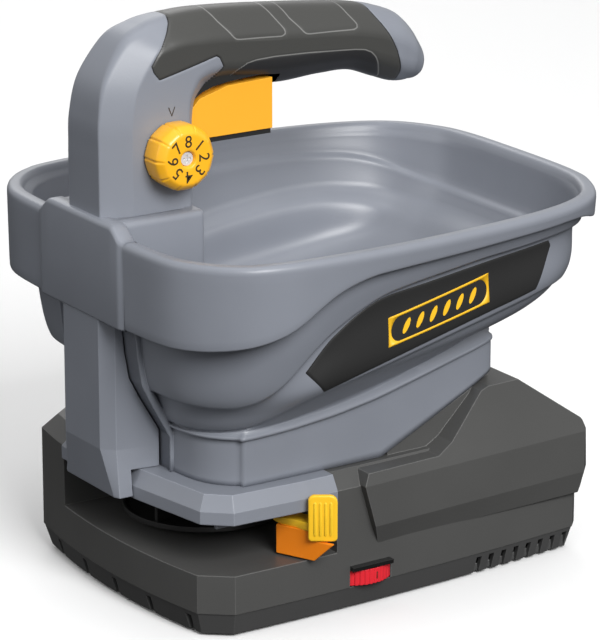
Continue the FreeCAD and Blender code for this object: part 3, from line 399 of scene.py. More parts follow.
def hopper_outside():
    """The outer skin, from the lip over the rim and its skirt down the bowl to the neck's foot."""
    top = np.where(rim[:, 0] < BLOCK_RAMP_X, block_top(rim[:, 1]) - 0.15, RIM_Z)
    rows = [rim_row(inset, top - drop) for inset, drop in (
        (LIP + 1.0, 3.0), (LIP + 0.3, 1.2), (LIP - 0.5, 0.35), (LIP - 1.4, 0.0), (3.2, 0.0), (2.2, 0.12),
        (1.25, 0.6), (0.55, 1.4), (0.12, 2.5), (0.0, 4.0))]
    rows += [rim_row(0.5 * t, (top - 4.0) * (1 - t) + (Z_SKIRT + 1.2) * t)
             for t in (0.15, 0.3, 0.45, 0.6, 0.75, 0.9)]
    rows += [rim_row(inset, Z_SKIRT + rise) for inset, rise in (
        (0.6, 0.8), (0.8, 0.2), (1.3, 0.0), (2.8, 0.0), (3.2, 0.3), (3.3, 1.5))]
    rows.append(rim_row(3.5, np.minimum(Z_SKIRT + 10.0, RIM_Z - 4.0)))
    rows += group(np.minimum(Z_SKIRT + 9.0, RIM_Z - 4.5), Z_FOLD + 2.0, 0.6, 1.0, 22, 0.8)
    rows += [bowl_row(Z_FOLD + rise, offset) for rise, offset in (
        (1.1, 0.9), (0.5, 0.6), (0.1, 0.0), (-0.2, -0.9), (-0.7, -1.9), (-1.4, -2.4))]
    rows += group(Z_FOLD - 2.2, Z_SECOND + 1.6, -2.6, SHOULDER, 22)
    rows += [bowl_row(Z_SECOND + rise, SHOULDER - less) for rise, less in (
        (0.9, 0.0), (0.35, 0.25), (-0.1, 0.7), (-0.7, 1.5))]
    z0, z1 = Z_SECOND - 1.3, np.minimum(Z_BEAD + 2.2 + BEAD_WIDTH * 0.3, Z_SECOND - 2.0)
    rows += group(z0, z1, SHOULDER - 2.1, -0.6, 16)
    rows += [bowl_row(z1 - 0.3, -0.1), bowl_row(z1 - 0.6, 0.1)]
    bead = 1 - smooth(40, 64, level_x[0])
    rows += [with_z(neck_ring(out), Z_BEAD + rise) for out, rise in (
        (1.9 * bead, 1.0), (2.3 * bead, 0.2), (2.2 * bead, -0.6), (1.4 * bead, -1.1), (0.2, -1.0),
        (-0.1, -1.8))]
    seam = NECK_SEAM_Z + NECK_SEAM_SLOPE * (neck_ring(1.0)[:, 0] - NECK_SEAM_X)
    foot = np.maximum(PLATE_TOP + 0.05, seam)
    rows += [with_z(neck_ring(0.0), (Z_BEAD - 1.8) * (1 - t) + foot * t) for t in np.linspace(0.12, 1.0, 8)]
    rows.append(with_z(neck_ring(-2.5), foot))
    return rows


neck_curve = catmull(NECK_OUTLINE, 720, True)
MIDDLE = np.array([-15.0, 0.0])
neck_angle = np.arctan2(neck_curve[:, 1], neck_curve[:, 0] - MIDDLE[0])
order = np.argsort(neck_angle)
ring0 = np.stack([level_x[0], W * LEVELS[0, 2]], axis=1) - MIDDLE
ring_angle = np.arctan2(ring0[:, 1], ring0[:, 0])
NECK_RADIUS = np.interp(ring_angle, neck_angle[order],
                        np.linalg.norm(neck_curve - MIDDLE, axis=1)[order], period=2 * math.pi)


def neck_ring(offset):
    radius = NECK_RADIUS + offset
    return np.stack([MIDDLE[0] + np.cos(ring_angle) * radius, np.sin(ring_angle) * radius,
                     np.zeros(COLUMNS)], axis=1)


def with_z(ring, z):
    out = ring.copy()
    out[:, 2] = z
    return out


WELL_FRONT, WELL_REAR, WELL_HALF, WELL_TOP, WELL_FOOT = -70.4, -56.6, 25.9, 104.5, 76.0


def hopper_inside():
    """The inner skin, from the lip down past two ledges to the wells over the outlets."""
    ledge = line(INNER_LEDGE, level_x[4])
    lower = line(LOWER_LEDGE, level_x[4])
    rows = [rim_row(LIP + 1.0, RIM_Z - 3.0), rim_row(LIP + 1.4, RIM_Z - 4.2)]
    rows += group(RIM_Z - 5.2, ledge + 1.4, -3.6, -4.3, 8)
    rows += [bowl_row(ledge + rise, offset) for rise, offset in (
        (0.6, -4.5), (0.0, -5.1), (-0.4, -6.0), (-1.0, -6.6))]
    rows += group(ledge - 2.0, lower + 5.0, -6.9, -7.2, 10)
    rows += [bowl_row(lower + rise, offset) for rise, offset in (
        (3.0, -7.8), (1.4, -9.0), (0.0, -10.6), (-1.4, -12.4), (-3.0, -13.4))]
    floor_z = BOWL_Z[0] + 7.0
    rows += group(lower - 5.0, floor_z + 6.0, -13.8, -9.0, 12)
    edge = bowl_row(floor_z + 3.0, -12.0)
    rows.append(edge)
    well = np.stack([np.clip(edge[:, 0], WELL_FRONT, WELL_REAR), np.clip(edge[:, 1], -WELL_HALF, WELL_HALF),
                     np.full(COLUMNS, WELL_TOP)], axis=1)
    for t in (0.15, 0.35, 0.6, 0.85):
        mid = edge * (1 - t) + well * t
        mid[:, 2] = edge[:, 2] * (1 - t) ** 1.5 + WELL_TOP * (1 - (1 - t) ** 1.5)
        rows.append(mid)
    return rows + [well, with_z(well, WELL_FOOT)]


def rounded_rect(x0, x1, half, radius, per_corner=8):
    points = []
    for cx, cy, start in ((x1 - radius, half - radius, 0), (x0 + radius, half - radius, 90),
                          (x0 + radius, -half + radius, 180), (x1 - radius, -half + radius, 270)):
        for k in range(per_corner + 1):
            a = math.radians(start + 90 * k / per_corner)
            points.append((cx + radius * math.cos(a), cy + radius * math.sin(a)))
    return points


PLATE_HALF = 41.0          # flat front of the rim, with ramps up to the handle's block


def block_top(y):
    return RIM_Z + (BLOCK_Z - RIM_Z) * (1 - smooth(BLOCK_HALF - 0.6, PLATE_HALF - 1.0, abs(y)))


def front_plate():
    """The flat front of the rim, drawn as one profile swept across."""
    rows = []
    for y in np.concatenate([[-PLATE_HALF], np.linspace(-PLATE_HALF + 0.25, PLATE_HALF - 0.25, 70),
                             [PLATE_HALF]]):
        top = float(block_top(y))
        face = BLOCK_FRONT + float(1.5 * smooth(PLATE_HALF - 4.0, PLATE_HALF, abs(y)))
        profile = [(-129.4, 160.0), (-129.4, 151.0), (-130.0, 150.4), (face + 0.8, 150.4),
                   (face + 0.2, 150.8), (face, 151.6), (face, top - 2.6), (face + 0.2, top - 1.5),
                   (face + 0.8, top - 0.6), (face + 1.7, top - 0.1), (face + 2.6, top),
                   (-129.6, top), (-126.0, top - 0.05), (-125.0, top - 0.9), (-124.9, 190.0)]
        rows.append([(x, y, z) for x, z in profile])
    return rows


def handle_block():
    """The block on the rim that carries the handle, with a shallow channel round the column."""
    front = BLOCK_FRONT + 0.5
    top = BLOCK_Z - 0.15

    def ring(inset, z):
        return [(x, y, z) for x, y in rounded_rect(front + inset, BLOCK_REAR - inset, BLOCK_HALF - inset,
                                                   max(4.0 - inset, 1.0))]
    return [ring(inset, z) for inset, z in (
        (0.3, 150.6), (0, 152.0), (0, top - 3.4), (0.2, top - 2.0), (0.8, top - 0.9), (1.7, top - 0.2),
        (2.6, top), (6.6, top), (7.0, top - 0.1), (7.4, top - 0.5), (14.5, top - 0.6))]


DUCT_FRONT, DUCT_FOOT = -100.0, 92.0


def rod_duct():
    """The duct inside the hopper that carries the pull rod down from the block."""
    return [[(x, y, z) for x, y in rounded_rect(DUCT_FRONT, BLOCK_REAR - draft, BLOCK_HALF - draft, 4.0)]
            for z, draft in ((DUCT_FOOT, 0.3), (120.0, 0.2), (151.8, 0.02))]


FLANGE_LINE = [(-125.4, 151), (-123.4, 144), (-122.6, 134), (-120.4, 120), (-114.4, 108), (-108.3, 97),
               (-104.9, 90.6), (-105.1, 73.1)]
FLANGE_HALF, RIB = 38.0, 1.3


def front_flange():
    """The flange behind the front column, with a thin rib along each edge."""
    curve = np.array(FLANGE_LINE)
    steps = []
    for a, b in zip(curve[:-1], curve[1:]):
        steps += [a + (b - a) * t for t in (0.02, 0.5, 0.98)]
    section = [(-FLANGE_HALF, 3.5), (-FLANGE_HALF, -0.6), (-FLANGE_HALF + 0.25, -0.9),
               (-FLANGE_HALF + RIB - 0.25, -0.9), (-FLANGE_HALF + RIB, -0.6), (-FLANGE_HALF + RIB, 0.4)]
    section += [(-y, d) for y, d in reversed(section)]
    return [[(p[0] + d, y, p[1]) for y, d in section] for p in steps]


def build_hopper():
    body = Builder()
    body.rows(hopper_outside())
    body.rows(hopper_inside())
    body.rows(front_plate(), closed=False)
    body.rows(handle_block(), cap_first=True, cap_last=True)
    body.rows(rod_duct(), cap_first=True, cap_last=True)
    body.rows(front_flange(), cap_first=True, cap_last=True)
    piece = body.done("hopper_shell", MAT["grey_satin"])
    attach(piece, "frame")
    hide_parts("hopper")


build_hopper()


# ---- side labels ----
FIRST_WALL_ROW, END_WALL_ROW = 23, 90    # the outer skin's rows that are the bowl's wall
BOWL_ROWS = np.array(hopper_outside())[FIRST_WALL_ROW:END_WALL_ROW]


def wall_point(x, z, lift):
    """The bowl's right-hand wall at that x and z, lifted off the surface."""
    near = np.where(rim[:, 1] < -20)[0]
    near = near[np.argsort(rim[near, 0])]
    ys, zs = [], []
    for row in BOWL_ROWS:
        xs = row[near, 0]
        ys.append(np.interp(x, xs, row[near, 1]))
        zs.append(np.interp(x, xs, row[near, 2]))
    order_z = np.argsort(zs)
    return (x, float(np.interp(z, np.array(zs)[order_z], np.array(ys)[order_z])) - lift, z)


LABEL_LOW = [(-56.5, 122.0), (-41.1, 127.4), (-20.2, 133.4), (9.4, 140.7), (40.5, 147.4), (72.0, 152.7)]
LABEL_HIGH = [(-66.4, 132.6), (-55.7, 146.4), (-49.0, 152.6), (-42.0, 158.0), (-34.2, 162.8),
              (-27.0, 165.6), (-18.0, 167.4), (1.8, 169.6), (23.6, 172.0), (49.6, 174.2), (78.6, 175.4),
              (81.6, 174.6), (83.4, 171.4)]


LABEL_COLUMNS = 130


def panel_skin():
    """The label film, standing off the wall with its edges tucked in."""
    low = catmull(LABEL_LOW, LABEL_COLUMNS, False)
    high = catmull(LABEL_HIGH, LABEL_COLUMNS, False)
    rows = []
    for t, lift in [(-0.012, -0.8), (0.0, 0.3), (0.02, 0.5)] + [(k / 12, 0.5) for k in range(1, 12)] + [
            (0.98, 0.5), (1.0, 0.3), (1.012, -0.8)]:
        row = []
        for k, (a, b) in enumerate(zip(low, high)):
            x, z = a + (b - a) * t
            edge = 0.0 if 0 < k < LABEL_COLUMNS - 1 else 1.0
            row.append(wall_point(x, z, lift - edge * 1.2))
        rows.append(row)
    return rows


BADGE = [(-22.3, 140.2), (38.9, 152.6), (38.6, 167.4), (-22.5, 155.2)]
BADGE_LIFT = 0.68


def badge_point(a, b, lift=BADGE_LIFT):
    """a and b run from -1 to 1 across and up the badge."""
    s, t = (a + 1) / 2, (b + 1) / 2
    p = [np.array(c) for c in BADGE]
    x, z = (p[0] * (1 - s) + p[1] * s) * (1 - t) + (p[3] * (1 - s) + p[2] * s) * t
    return wall_point(float(x), float(z), lift)


BADGE_STEPS = 144
BADGE_WIDTH, BADGE_HEIGHT, BADGE_END = 0.955, 0.84, 0.19    # inside of the frame, in shares of the badge


def badge_frame():
    """A plain frame: square outside and round-ended inside."""
    inner, outer = [], []
    for k in range(BADGE_STEPS):
        angle = 2 * math.pi * k / BADGE_STEPS
        c = math.cos(angle)
        a = math.copysign(BADGE_WIDTH - BADGE_END, c) * min(1, abs(c) * 6) + BADGE_END * c
        b = BADGE_HEIGHT * math.sin(angle)
        scale = 1 / max(abs(a), abs(b))
        inner.append((a, b))
        outer.append((max(-1, min(1, a * scale)), max(-1, min(1, b * scale))))
    low = BADGE_LIFT - 0.3
    return [[badge_point(a, b, lift) for a, b in ring]
            for ring, lift in ((inner, low), (inner, BADGE_LIFT), (outer, BADGE_LIFT), (outer, low))]


def badge_grains():
    """A row of slanted seed shapes."""
    grains = []
    for k in range(6):
        centre = -0.66 + 0.264 * k
        rows = []
        for size in (0.02, 0.5, 1.0):
            ring = []
            for j in range(28):
                angle = 2 * math.pi * j / 28
                a = 0.058 * size * math.cos(angle)
                b = 0.46 * size * math.sin(angle)
                ring.append(badge_point(centre + a + 0.12 * b, b))
            rows.append(ring)
        grains.append(rows)
    return grains


def on_side(rows, side):
    """Rows as drawn for the right-hand side, or mirrored when side is -1."""
    return [[(x, side * y, z) for x, y, z in row] for row in rows]


def build_labels():
    for side, name in ((1, "right"), (-1, "left")):
        panel = Builder().rows(on_side(panel_skin(), side), closed=False).done("label_" + name, MAT["panel"])
        badge = Builder().rows(on_side(badge_frame(), side))
        for rows in badge_grains():
            badge.rows(on_side(rows, side), cap_first=True)
        badge = badge.done("badge_" + name, MAT["badge"])
        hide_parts("label_panel_" + name)
        for piece in (panel, badge):
            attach(piece, "frame")


build_labels()


# ---- handle ----
# front or top point, rear or bottom point (x, z), half width, and how far the section is a grip
STATIONS = np.array([
    (-130.5, 199.8, -78.8, 199.8, 20.0, 0.0),
    (-130.5, 214.0, -78.8, 214.0, 20.0, 0.0),
    (-130.5, 232.0, -78.9, 230.0, 20.0, 0.0),
    (-130.0, 248.0, -78.6, 243.0, 20.0, 0.05),
    (-126.2, 266.0, -76.0, 252.0, 19.6, 0.2),
    (-116.5, 281.5, -70.5, 256.5, 19.2, 0.45),
    (-101.0, 291.0, -64.0, 257.5, 18.8, 0.75),
    (-80.0, 294.3, -55.5, 256.0, 18.2, 1.0),
    (-55.0, 294.0, -42.0, 254.0, 17.6, 1.0),
    (-28.0, 292.0, -22.0, 252.0, 17.1, 1.0),
    (0.0, 289.3, 2.0, 253.3, 17.0, 1.0),
    (22.0, 286.6, 20.0, 252.8, 17.2, 1.0),
    (38.0, 283.0, 34.0, 247.8, 17.4, 1.0),
    (50.0, 277.6, 46.0, 243.8, 17.2, 1.0),
    (59.0, 267.6, 54.5, 243.5, 15.0, 1.0),
    (64.3, 257.5, 61.6, 244.6, 9.0, 1.0),
    (65.6, 252.5, 64.6, 247.0, 3.0, 1.0),
])
# corners of half a section: along and across, as shares of the half sizes, and the corner's radius
COLUMN_CORNERS = [(1.0, 0.75, 1.0), (0.38, 1.0, 1.2), (-0.87, 1.0, 2.5), (-1.0, 0.84, 2.5)]
GRIP_CORNERS = [(1.0, 0.40, 11.0), (0.42, 1.0, 11.0), (-0.46, 1.0, 9.0), (-1.0, 0.44, 9.0)]
EDGE_STEPS = [12, 30, 4, 22, 4, 30, 12, 20]    # points on each flat, from the first corner round
ARC_STEPS = 7
HANDLE_RINGS = 380
BEND_EXTRA = 30.0          # length added at the bend, so that its rings lie closer

RUBBER = [
    (-85.5, 310), (-85.5, 294), (-87.0, 292.6), (-88.2, 290.6), (-90.6, 287.4), (-94.5, 282.8),
    (-99.2, 277.4), (-102.6, 272.6), (-101.4, 269.4), (-98.3, 265.7), (-88.3, 267.9), (-76.6, 270.6),
    (-65.4, 273.2), (-63.4, 272.0), (-61.2, 267.4), (-65.3, 262.0), (-71.0, 256.5), (-74.5, 250.0),
    (-75.5, 236), (30, 230), (46, 240), (45.6, 249.0), (43.4, 255.8), (41.3, 262.6), (37.6, 270.1),
    (33.2, 277.3), (30.0, 282.6), (28.6, 287.0), (28.0, 310),
]
INSET = [
    (-57.5, 240), (-57.0, 256), (-55.4, 260.2), (-52.1, 264.4), (-47.4, 267.2), (-42, 268.2),
    (-31.3, 268.5), (-10.7, 267.8), (4.1, 266.8), (16.0, 266.0), (22.0, 265.2), (26.0, 263.4),
    (28.8, 260.6), (30.8, 257.3), (33.6, 252.4), (35.4, 248.8), (37, 240),
]
PATCHES = [
    [(-66.5, 305), (-64.2, 293.5), (-61.3, 288.7), (-54.9, 280.8), (-53.4, 279.8), (-51, 279.5),
     (-40.0, 278.9), (-27.2, 278.0), (-25.0, 278.8), (-24.6, 280.6), (-28.2, 286.4), (-31.2, 291.5),
     (-32.5, 305)],
    [(-24.5, 305), (-22.2, 290.7), (-19.7, 285.4), (-13.8, 278.4), (-12.4, 277.4), (-10, 277.1),
     (2.6, 276.7), (15.6, 276.1), (17.8, 276.8), (18.2, 278.4), (14.8, 283.7), (12.8, 287.8), (10.5, 305)],
]


def signed_distance(points, polygon):
    """Distance to a closed outline, negative inside."""
    a = np.array(polygon, float)
    b = np.roll(a, -1, axis=0)
    p = points[:, None, :]
    ab = b - a
    t = np.clip(((p - a) * ab).sum(-1) / (ab**2).sum(-1), 0, 1)
    distance = np.linalg.norm(p - (a + ab * t[..., None]), axis=-1).min(axis=1)
    x, y = points[:, 0:1], points[:, 1:2]
    rise = np.where(ab[:, 1] == 0, 1e-9, ab[:, 1])
    crosses = ((a[:, 1] > y) != (b[:, 1] > y)) & (x < ab[:, 0] * (y - a[:, 1]) / rise + a[:, 0])
    return np.where(crosses.sum(axis=1) % 2 == 1, -distance, distance)


def section_ring(station):
    """One ring of the handle, its corners rounded, for a row of station values."""
    top, bottom = station[0:2], station[2:4]
    half, grip = station[4], station[5]
    length = np.linalg.norm(top - bottom)
    middle, axis = (top + bottom) / 2, (top - bottom) / max(length, 1e-6)
    corners = []
    for c, g in zip(COLUMN_CORNERS, GRIP_CORNERS):
        a, b, r = (np.array(c) * (1 - grip) + np.array(g) * grip)
        corners.append((a * length / 2, b * half, r))
    loop = corners + [(a, -b, r) for a, b, r in reversed(corners)]
    count = len(loop)
    arcs = []
    for k in range(count):
        p = np.array(loop[k][:2])
        back = np.array(loop[k - 1][:2]) - p
        ahead = np.array(loop[(k + 1) % count][:2]) - p
        lb, la = np.linalg.norm(back), np.linalg.norm(ahead)
        back, ahead = back / lb, ahead / la
        turn = math.acos(max(-1, min(1, float(-(back @ ahead)))))
        cut = min(loop[k][2] * math.tan(turn / 2), 0.46 * lb, 0.46 * la)
        start, end = p + back * cut, p + ahead * cut
        arc = []
        for t in np.linspace(0, 1, ARC_STEPS):
            arc.append((1 - t)**2 * start + 2 * t * (1 - t) * (p * 0.9 + (start + end) * 0.05) + t * t * end)
        arcs.append(arc)
    flat = []
    for k in range(count):
        flat += arcs[k]
        nxt = arcs[(k + 1) % count][0]
        for t in np.linspace(0, 1, EDGE_STEPS[k] + 2)[1:-1]:
            flat.append(arcs[k][-1] * (1 - t) + nxt * t)
    flat = np.array(flat)
    return np.stack([middle[0] + axis[0] * flat[:, 0], flat[:, 1], middle[1] + axis[1] * flat[:, 0]], axis=1)


def handle_grid():
    centre = (STATIONS[:, 0:2] + STATIONS[:, 2:4]) / 2
    length = np.concatenate([[0], np.cumsum(np.linalg.norm(np.diff(centre, axis=0), axis=1))])
    length += np.concatenate([np.zeros(5), np.linspace(0, BEND_EXTRA, 4), np.full(8, BEND_EXTRA)])
    t = np.linspace(0, length[-1], HANDLE_RINGS)
    stations = hermite_smooth(length, STATIONS, t)
    return np.array([section_ring(s) for s in stations])


def grid_normals(grid):
    du = np.roll(grid, -1, axis=1) - np.roll(grid, 1, axis=1)
    dv = np.gradient(grid, axis=0)
    normal = np.cross(du, dv)
    normal /= np.linalg.norm(normal, axis=-1, keepdims=True) + 1e-12
    middle = grid.mean(axis=1, keepdims=True)
    if ((grid - middle) * normal).sum() < 0:
        normal = -normal
    return normal


def seam_material():
    """Grey shell, rubber cover and inset, told apart by the distance to their moulded joints, with painted
    highlights along the inset's and patches' grooves.
    """
    material = plastic("handle_two_shot", GREY, rough=0.4, grain=0.4)
    tree = material.node_tree
    shader = tree.nodes["Principled BSDF"]
    base = shader.inputs["Base Color"].links[0].from_socket

    def distance(name):
        field = node(tree, "Attribute")
        field.attribute_name = name
        return field.outputs["Fac"]

    def step(socket, low, high):
        ramp = node(tree, "MapRange", {"From Min": low, "From Max": high})
        link(tree, socket, ramp.inputs["Value"])
        return ramp.outputs["Result"]

    def band(name, width, soft):
        size = node(tree, "Math")
        size.operation = "ABSOLUTE"
        link(tree, distance(name), size.inputs[0])
        return step(size.outputs["Value"], width + soft, width)

    def mix(factor, a, colour):
        layer = node(tree, "Mix")
        layer.data_type = "RGBA"
        link(tree, factor, layer.inputs["Factor"])
        link(tree, a, layer.inputs["A"])
        layer.inputs["B"].default_value = (*colour, 1)
        return layer.outputs["Result"]

    colour = mix(step(distance("rubber"), 0.12, -0.12), base, srgb(66, 66, 64))
    colour = mix(step(distance("inset"), 0.1, -0.1), colour, srgb(42, 42, 43))
    # painted highlight: light bands along the inset's and patches' grooves stand in for the grooves' lit
    # edges
    colour = mix(band("inset", 0.18, 0.25), colour, srgb(118, 118, 116))
    colour = mix(band("patch", 0.18, 0.25), colour, srgb(122, 122, 120))
    colour = mix(band("rubber", 0.16, 0.2), colour, srgb(24, 24, 24))
    link(tree, colour, shader.inputs["Base Color"])
    return material


def split_piece(name, grid, normals, faces, keep, fields, material):
    used = sorted({v for f in (faces[i] for i in keep) for v in f})
    renumber = {v: i for i, v in enumerate(used)}
    flat, flat_normals = grid.reshape(-1, 3), normals.reshape(-1, 3)
    mesh = bpy.data.meshes.new(name)
    mesh.from_pydata([tuple(flat[v] * MM) for v in used], [],
                     [tuple(renumber[v] for v in faces[i]) for i in keep])
    mesh.update()
    for polygon in mesh.polygons:
        polygon.use_smooth = True
    mesh.normals_split_custom_set_from_vertices([tuple(flat_normals[v]) for v in used])
    for field, values in fields.items():
        attribute = mesh.attributes.new(field, "FLOAT", "POINT")
        attribute.data.foreach_set("value", values[used].astype(float))
    mesh.materials.append(material)
    obj = bpy.data.objects.new(name, mesh)
    bpy.context.scene.collection.objects.link(obj)
    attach(obj, "frame")
    return obj


SLOT = (-77.8, -25.6, TRIGGER_HALF + 0.5)   # trigger opening: front, rear and half width
SLOT_TOP, LINER_TOP = 262.0, 275.0
FAR = 9.0                  # a distance at which a seam no longer shows


def groove(distance, depth, width):
    """Depth of a moulded groove at that distance from its line."""
    return depth * np.exp(-(distance / width)**2)


def build_handle():
    grid = handle_grid()
    normals = grid_normals(grid)
    flat = grid.reshape(-1, 3)
    side = flat[:, [0, 2]]
    rubber = signed_distance(side, RUBBER)
    inset = signed_distance(side, INSET)
    patch = np.minimum(signed_distance(side, PATCHES[0]), signed_distance(side, PATCHES[1]))
    inside = smooth(0.4, -0.4, rubber)
    depth = groove(rubber, 0.45, 0.42)
    depth += groove(inset, 0.3, 0.4) * inside
    depth += groove(patch, 0.26, 0.4) * inside
    patch = np.where(rubber < -0.3, patch, FAR)
    inset = np.where(rubber < -0.3, inset, FAR)
    flat = flat - normals.reshape(-1, 3) * depth[:, None]
    grid = flat.reshape(grid.shape)
    normals = grid_normals(grid)
    rows, columns = grid.shape[:2]
    faces = grid_faces(rows, columns, True)
    last = (rows - 1) * columns
    index = np.array(faces)
    middle = flat[index].mean(axis=1)
    facing = np.cross(flat[index[:, 2]] - flat[index[:, 0]], flat[index[:, 3]] - flat[index[:, 1]])
    if (facing * normals.reshape(-1, 3)[index[:, 0]]).sum() < 0:
        faces = [f[::-1] for f in faces]
    face_rubber = rubber[index].mean(axis=1)
    face_inset = inset[index].mean(axis=1)
    in_slot = ((middle[:, 0] > SLOT[0]) & (middle[:, 0] < SLOT[1]) & (np.abs(middle[:, 1]) < SLOT[2])
               & (middle[:, 2] < SLOT_TOP))
    material = seam_material()
    fields = {"rubber": rubber, "inset": inset, "patch": patch}
    faces.append(tuple(range(last, last + columns))[::-1 if faces[0][0] > faces[0][-1] else 1])
    regions = {
        "handle_right": (face_rubber >= 0) & (middle[:, 1] < 0),
        "handle_left": (face_rubber >= 0) & (middle[:, 1] >= 0),
        "grip_cover": (face_rubber < 0) & (face_inset >= 0),
        "grip_insert": (face_rubber < 0) & (face_inset < 0),
    }
    stands_for = {"handle_right": ("handle_right_shell", "handle_grey"),
                  "handle_left": ("handle_left_shell", "handle_grey"),
                  "grip_cover": ("grip_overmold", "grip_rubber"),
                  "grip_insert": ("grip_inset", "inset_rubber")}
    for name, wanted in regions.items():
        keep = list(np.where(wanted & ~in_slot)[0])
        if name == "handle_left":
            keep.append(len(faces) - 1)
        piece = split_piece(name, grid, normals, faces, keep, fields, material)
        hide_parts(stands_for[name][0])
    build_slot_liner()


def build_slot_liner():
    """The dark side walls of the trigger's opening."""
    front, rear, half = SLOT
    mouth = [(front, 249.0), (front + 2.5, 252.0), (front + 6.5, 254.6), (front + 13, 256.8),
             (front + 22, 258.2), (front + 34, 259.0), (rear + 0.2, 260.0)]
    liner = Builder()
    for side in (-1, 1):
        y = side * (half + 0.2)
        liner.rows([[(x, y, z) for x, z in mouth], [(x, y, LINER_TOP) for x, _ in mouth]], closed=False)
    liner = liner.done("trigger_slot_liner", MAT["black"], sharp=30)
    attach(liner, "frame")


POINTER_TOP, POINTER_TIP, POINTER_LEAN, POINTER_LINE = 251.6, 247.2, 1.7, 0.22


def build_knob_pointer():
    """The small V above the metering knob."""
    arms = Builder()
    tip = KNOB_X + 0.2
    for lean in (-POINTER_LEAN, POINTER_LEAN):
        top = KNOB_X + 0.2 + lean
        ring = [(top - POINTER_LINE, POINTER_TOP), (top + POINTER_LINE, POINTER_TOP),
                (tip + POINTER_LINE, POINTER_TIP), (tip - POINTER_LINE, POINTER_TIP)]
        arms.rows([[(x, y, z) for x, z in ring] for y in (-19.9, -20.04)], cap_last=True)
    arms = arms.done("knob_pointer", MAT["ink"], sharp=30)
    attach(arms, "frame")


build_handle()
build_knob_pointer()


# ---- metering knob ----
FLUTES = 10
DIGIT_RING = 8.5
DIGIT_SIZE = 8.4
DIGIT_HEIGHT, DIGIT_SWELL = 0.06, 0.04    # how far a digit stands up and swells
KNOB_STEPS = 240
NOTCH_WIDTH = 0.045         # in shares of a flute


def knob_radius(angle, radius, notch):
    """Radius of the shallow-fluted grip, with a notch between the flutes."""
    pitch = 2 * math.pi / FLUTES
    off = (angle / pitch - 0.5) % 1.0 - 0.5
    flat = math.cos(pitch / 2) / math.cos((0.5 - abs(off)) * pitch)
    lobe = radius * (0.35 + 0.65 * (flat + 0.5 * (1 - math.cos(pitch / 2))))
    return lobe - notch * math.exp(-(off / NOTCH_WIDTH)**2)


def raised_digit(digit, body, centre, across, up, size):
    """A thin raised digit from the built-in font, standing on a face."""
    text = bpy.data.curves.new("digit_" + digit, "FONT")
    text.body = digit
    text.size = size * MM
    text.align_x = "CENTER"
    text.align_y = "CENTER"
    text.extrude = DIGIT_HEIGHT * MM
    text.offset = DIGIT_SWELL * MM
    holder = bpy.data.objects.new("digit_curve", text)
    bpy.context.scene.collection.objects.link(holder)
    bpy.context.view_layer.update()
    mesh = bpy.data.meshes.new_from_object(holder)
    bpy.data.objects.remove(holder)
    centre, across, up = np.array(centre) * MM, np.array(across), np.array(up)
    out = np.cross(across, up)
    for vertex in mesh.vertices:
        x, y, z = vertex.co
        vertex.co = centre + across * x + up * y + out * z
    mesh.materials.clear()
    mesh.materials.append(MAT["ink"])
    label = bpy.data.objects.new(body + "_digit_" + digit, mesh)
    bpy.context.scene.collection.objects.link(label)
    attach(label, body)


def build_knob():
    profile = [(KNOB_R - 0.9, KNOB_BACK, 0.5), (KNOB_R - 0.2, KNOB_BACK - 0.5, 0.9),
               (KNOB_R, KNOB_BACK - 1.2, 1.0),
               (KNOB_R, -26.0, 1.0), (KNOB_R, -31.4, 1.0), (KNOB_R - 0.3, -32.2, 1.0),
               (KNOB_R - 0.9, -33.1, 0.9), (KNOB_R - 2.2, -34.6, 0.7), (KNOB_R - 2.9, -35.2, 0.45),
               (KNOB_R - 3.7, KNOB_FACE, 0.15), (KNOB_R - 5.0, KNOB_FACE, 0.0), (6.0, KNOB_FACE, 0.0),
               (4.6, KNOB_FACE, 0.0), (4.1, KNOB_FACE + 0.3, 0.0), (3.8, KNOB_FACE + 1.0, 0.0),
               (3.6, KNOB_FACE + 3.4, 0.0)]
    rows = []
    for radius, y, notch in profile:
        ring = []
        for k in range(KNOB_STEPS):
            angle = 2 * math.pi * k / KNOB_STEPS
            r = knob_radius(angle, radius, notch) if notch > 0 else radius
            ring.append((KNOB_X + r * math.cos(angle), y, KNOB_Z + r * math.sin(angle)))
        rows.append(ring)
    knob = Builder().rows(rows, cap_first=True, cap_last=True).done("knob_cap", MAT["yellow"])
    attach(knob, "knob")
    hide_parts("flow_knob")
    for step, digit in enumerate("81234567"):
        turn = math.radians(45 * step)
        up_dir = np.array([math.sin(turn), 0, math.cos(turn)])
        centre = np.array([KNOB_X, KNOB_FACE - 0.04, KNOB_Z]) + up_dir * DIGIT_RING
        raised_digit(digit, "knob", centre, (math.cos(turn), 0, -math.sin(turn)), up_dir,
                     DIGIT_SIZE)


DIAL_X, DIAL_Y, DIAL_R, DIAL_MID, DIAL_DIGIT = -21.0, -70.8, 20.0, 17.6, 5.2
DIAL_TURN = math.radians(6)


def build_dial_digit():
    across = (math.cos(DIAL_TURN), math.sin(DIAL_TURN), 0)
    centre = (DIAL_X + DIAL_R * across[1], DIAL_Y - (DIAL_R + 0.05) * across[0], DIAL_MID)
    raised_digit("1", "dial", centre, across, (0, 0, 1), DIAL_DIGIT)


build_knob()
build_dial_digit()


# ---- side deflector ----
TAB_CENTRE, TAB_ACROSS, TAB_OUT = (-54.0, -95.0), (0.835, -0.55), (-0.55, -0.835)
TAB_HALF, TAB_LOW, TAB_HIGH, TAB_THICK = 7.2, 44.8, 68.7, 2.6
FLAP_ROOT, FLAP_ALONG, FLAP_THICK = (-65.2, -76.6), (0.418, -0.908), 2.2
FLAP_LOW, FLAP_TOP, FLAP_MEETS_TAB = 34.1, 48.9, 18.6


def tab_point(across, out, z):
    return (TAB_CENTRE[0] + TAB_ACROSS[0] * across + TAB_OUT[0] * out,
            TAB_CENTRE[1] + TAB_ACROSS[1] * across + TAB_OUT[1] * out, z)


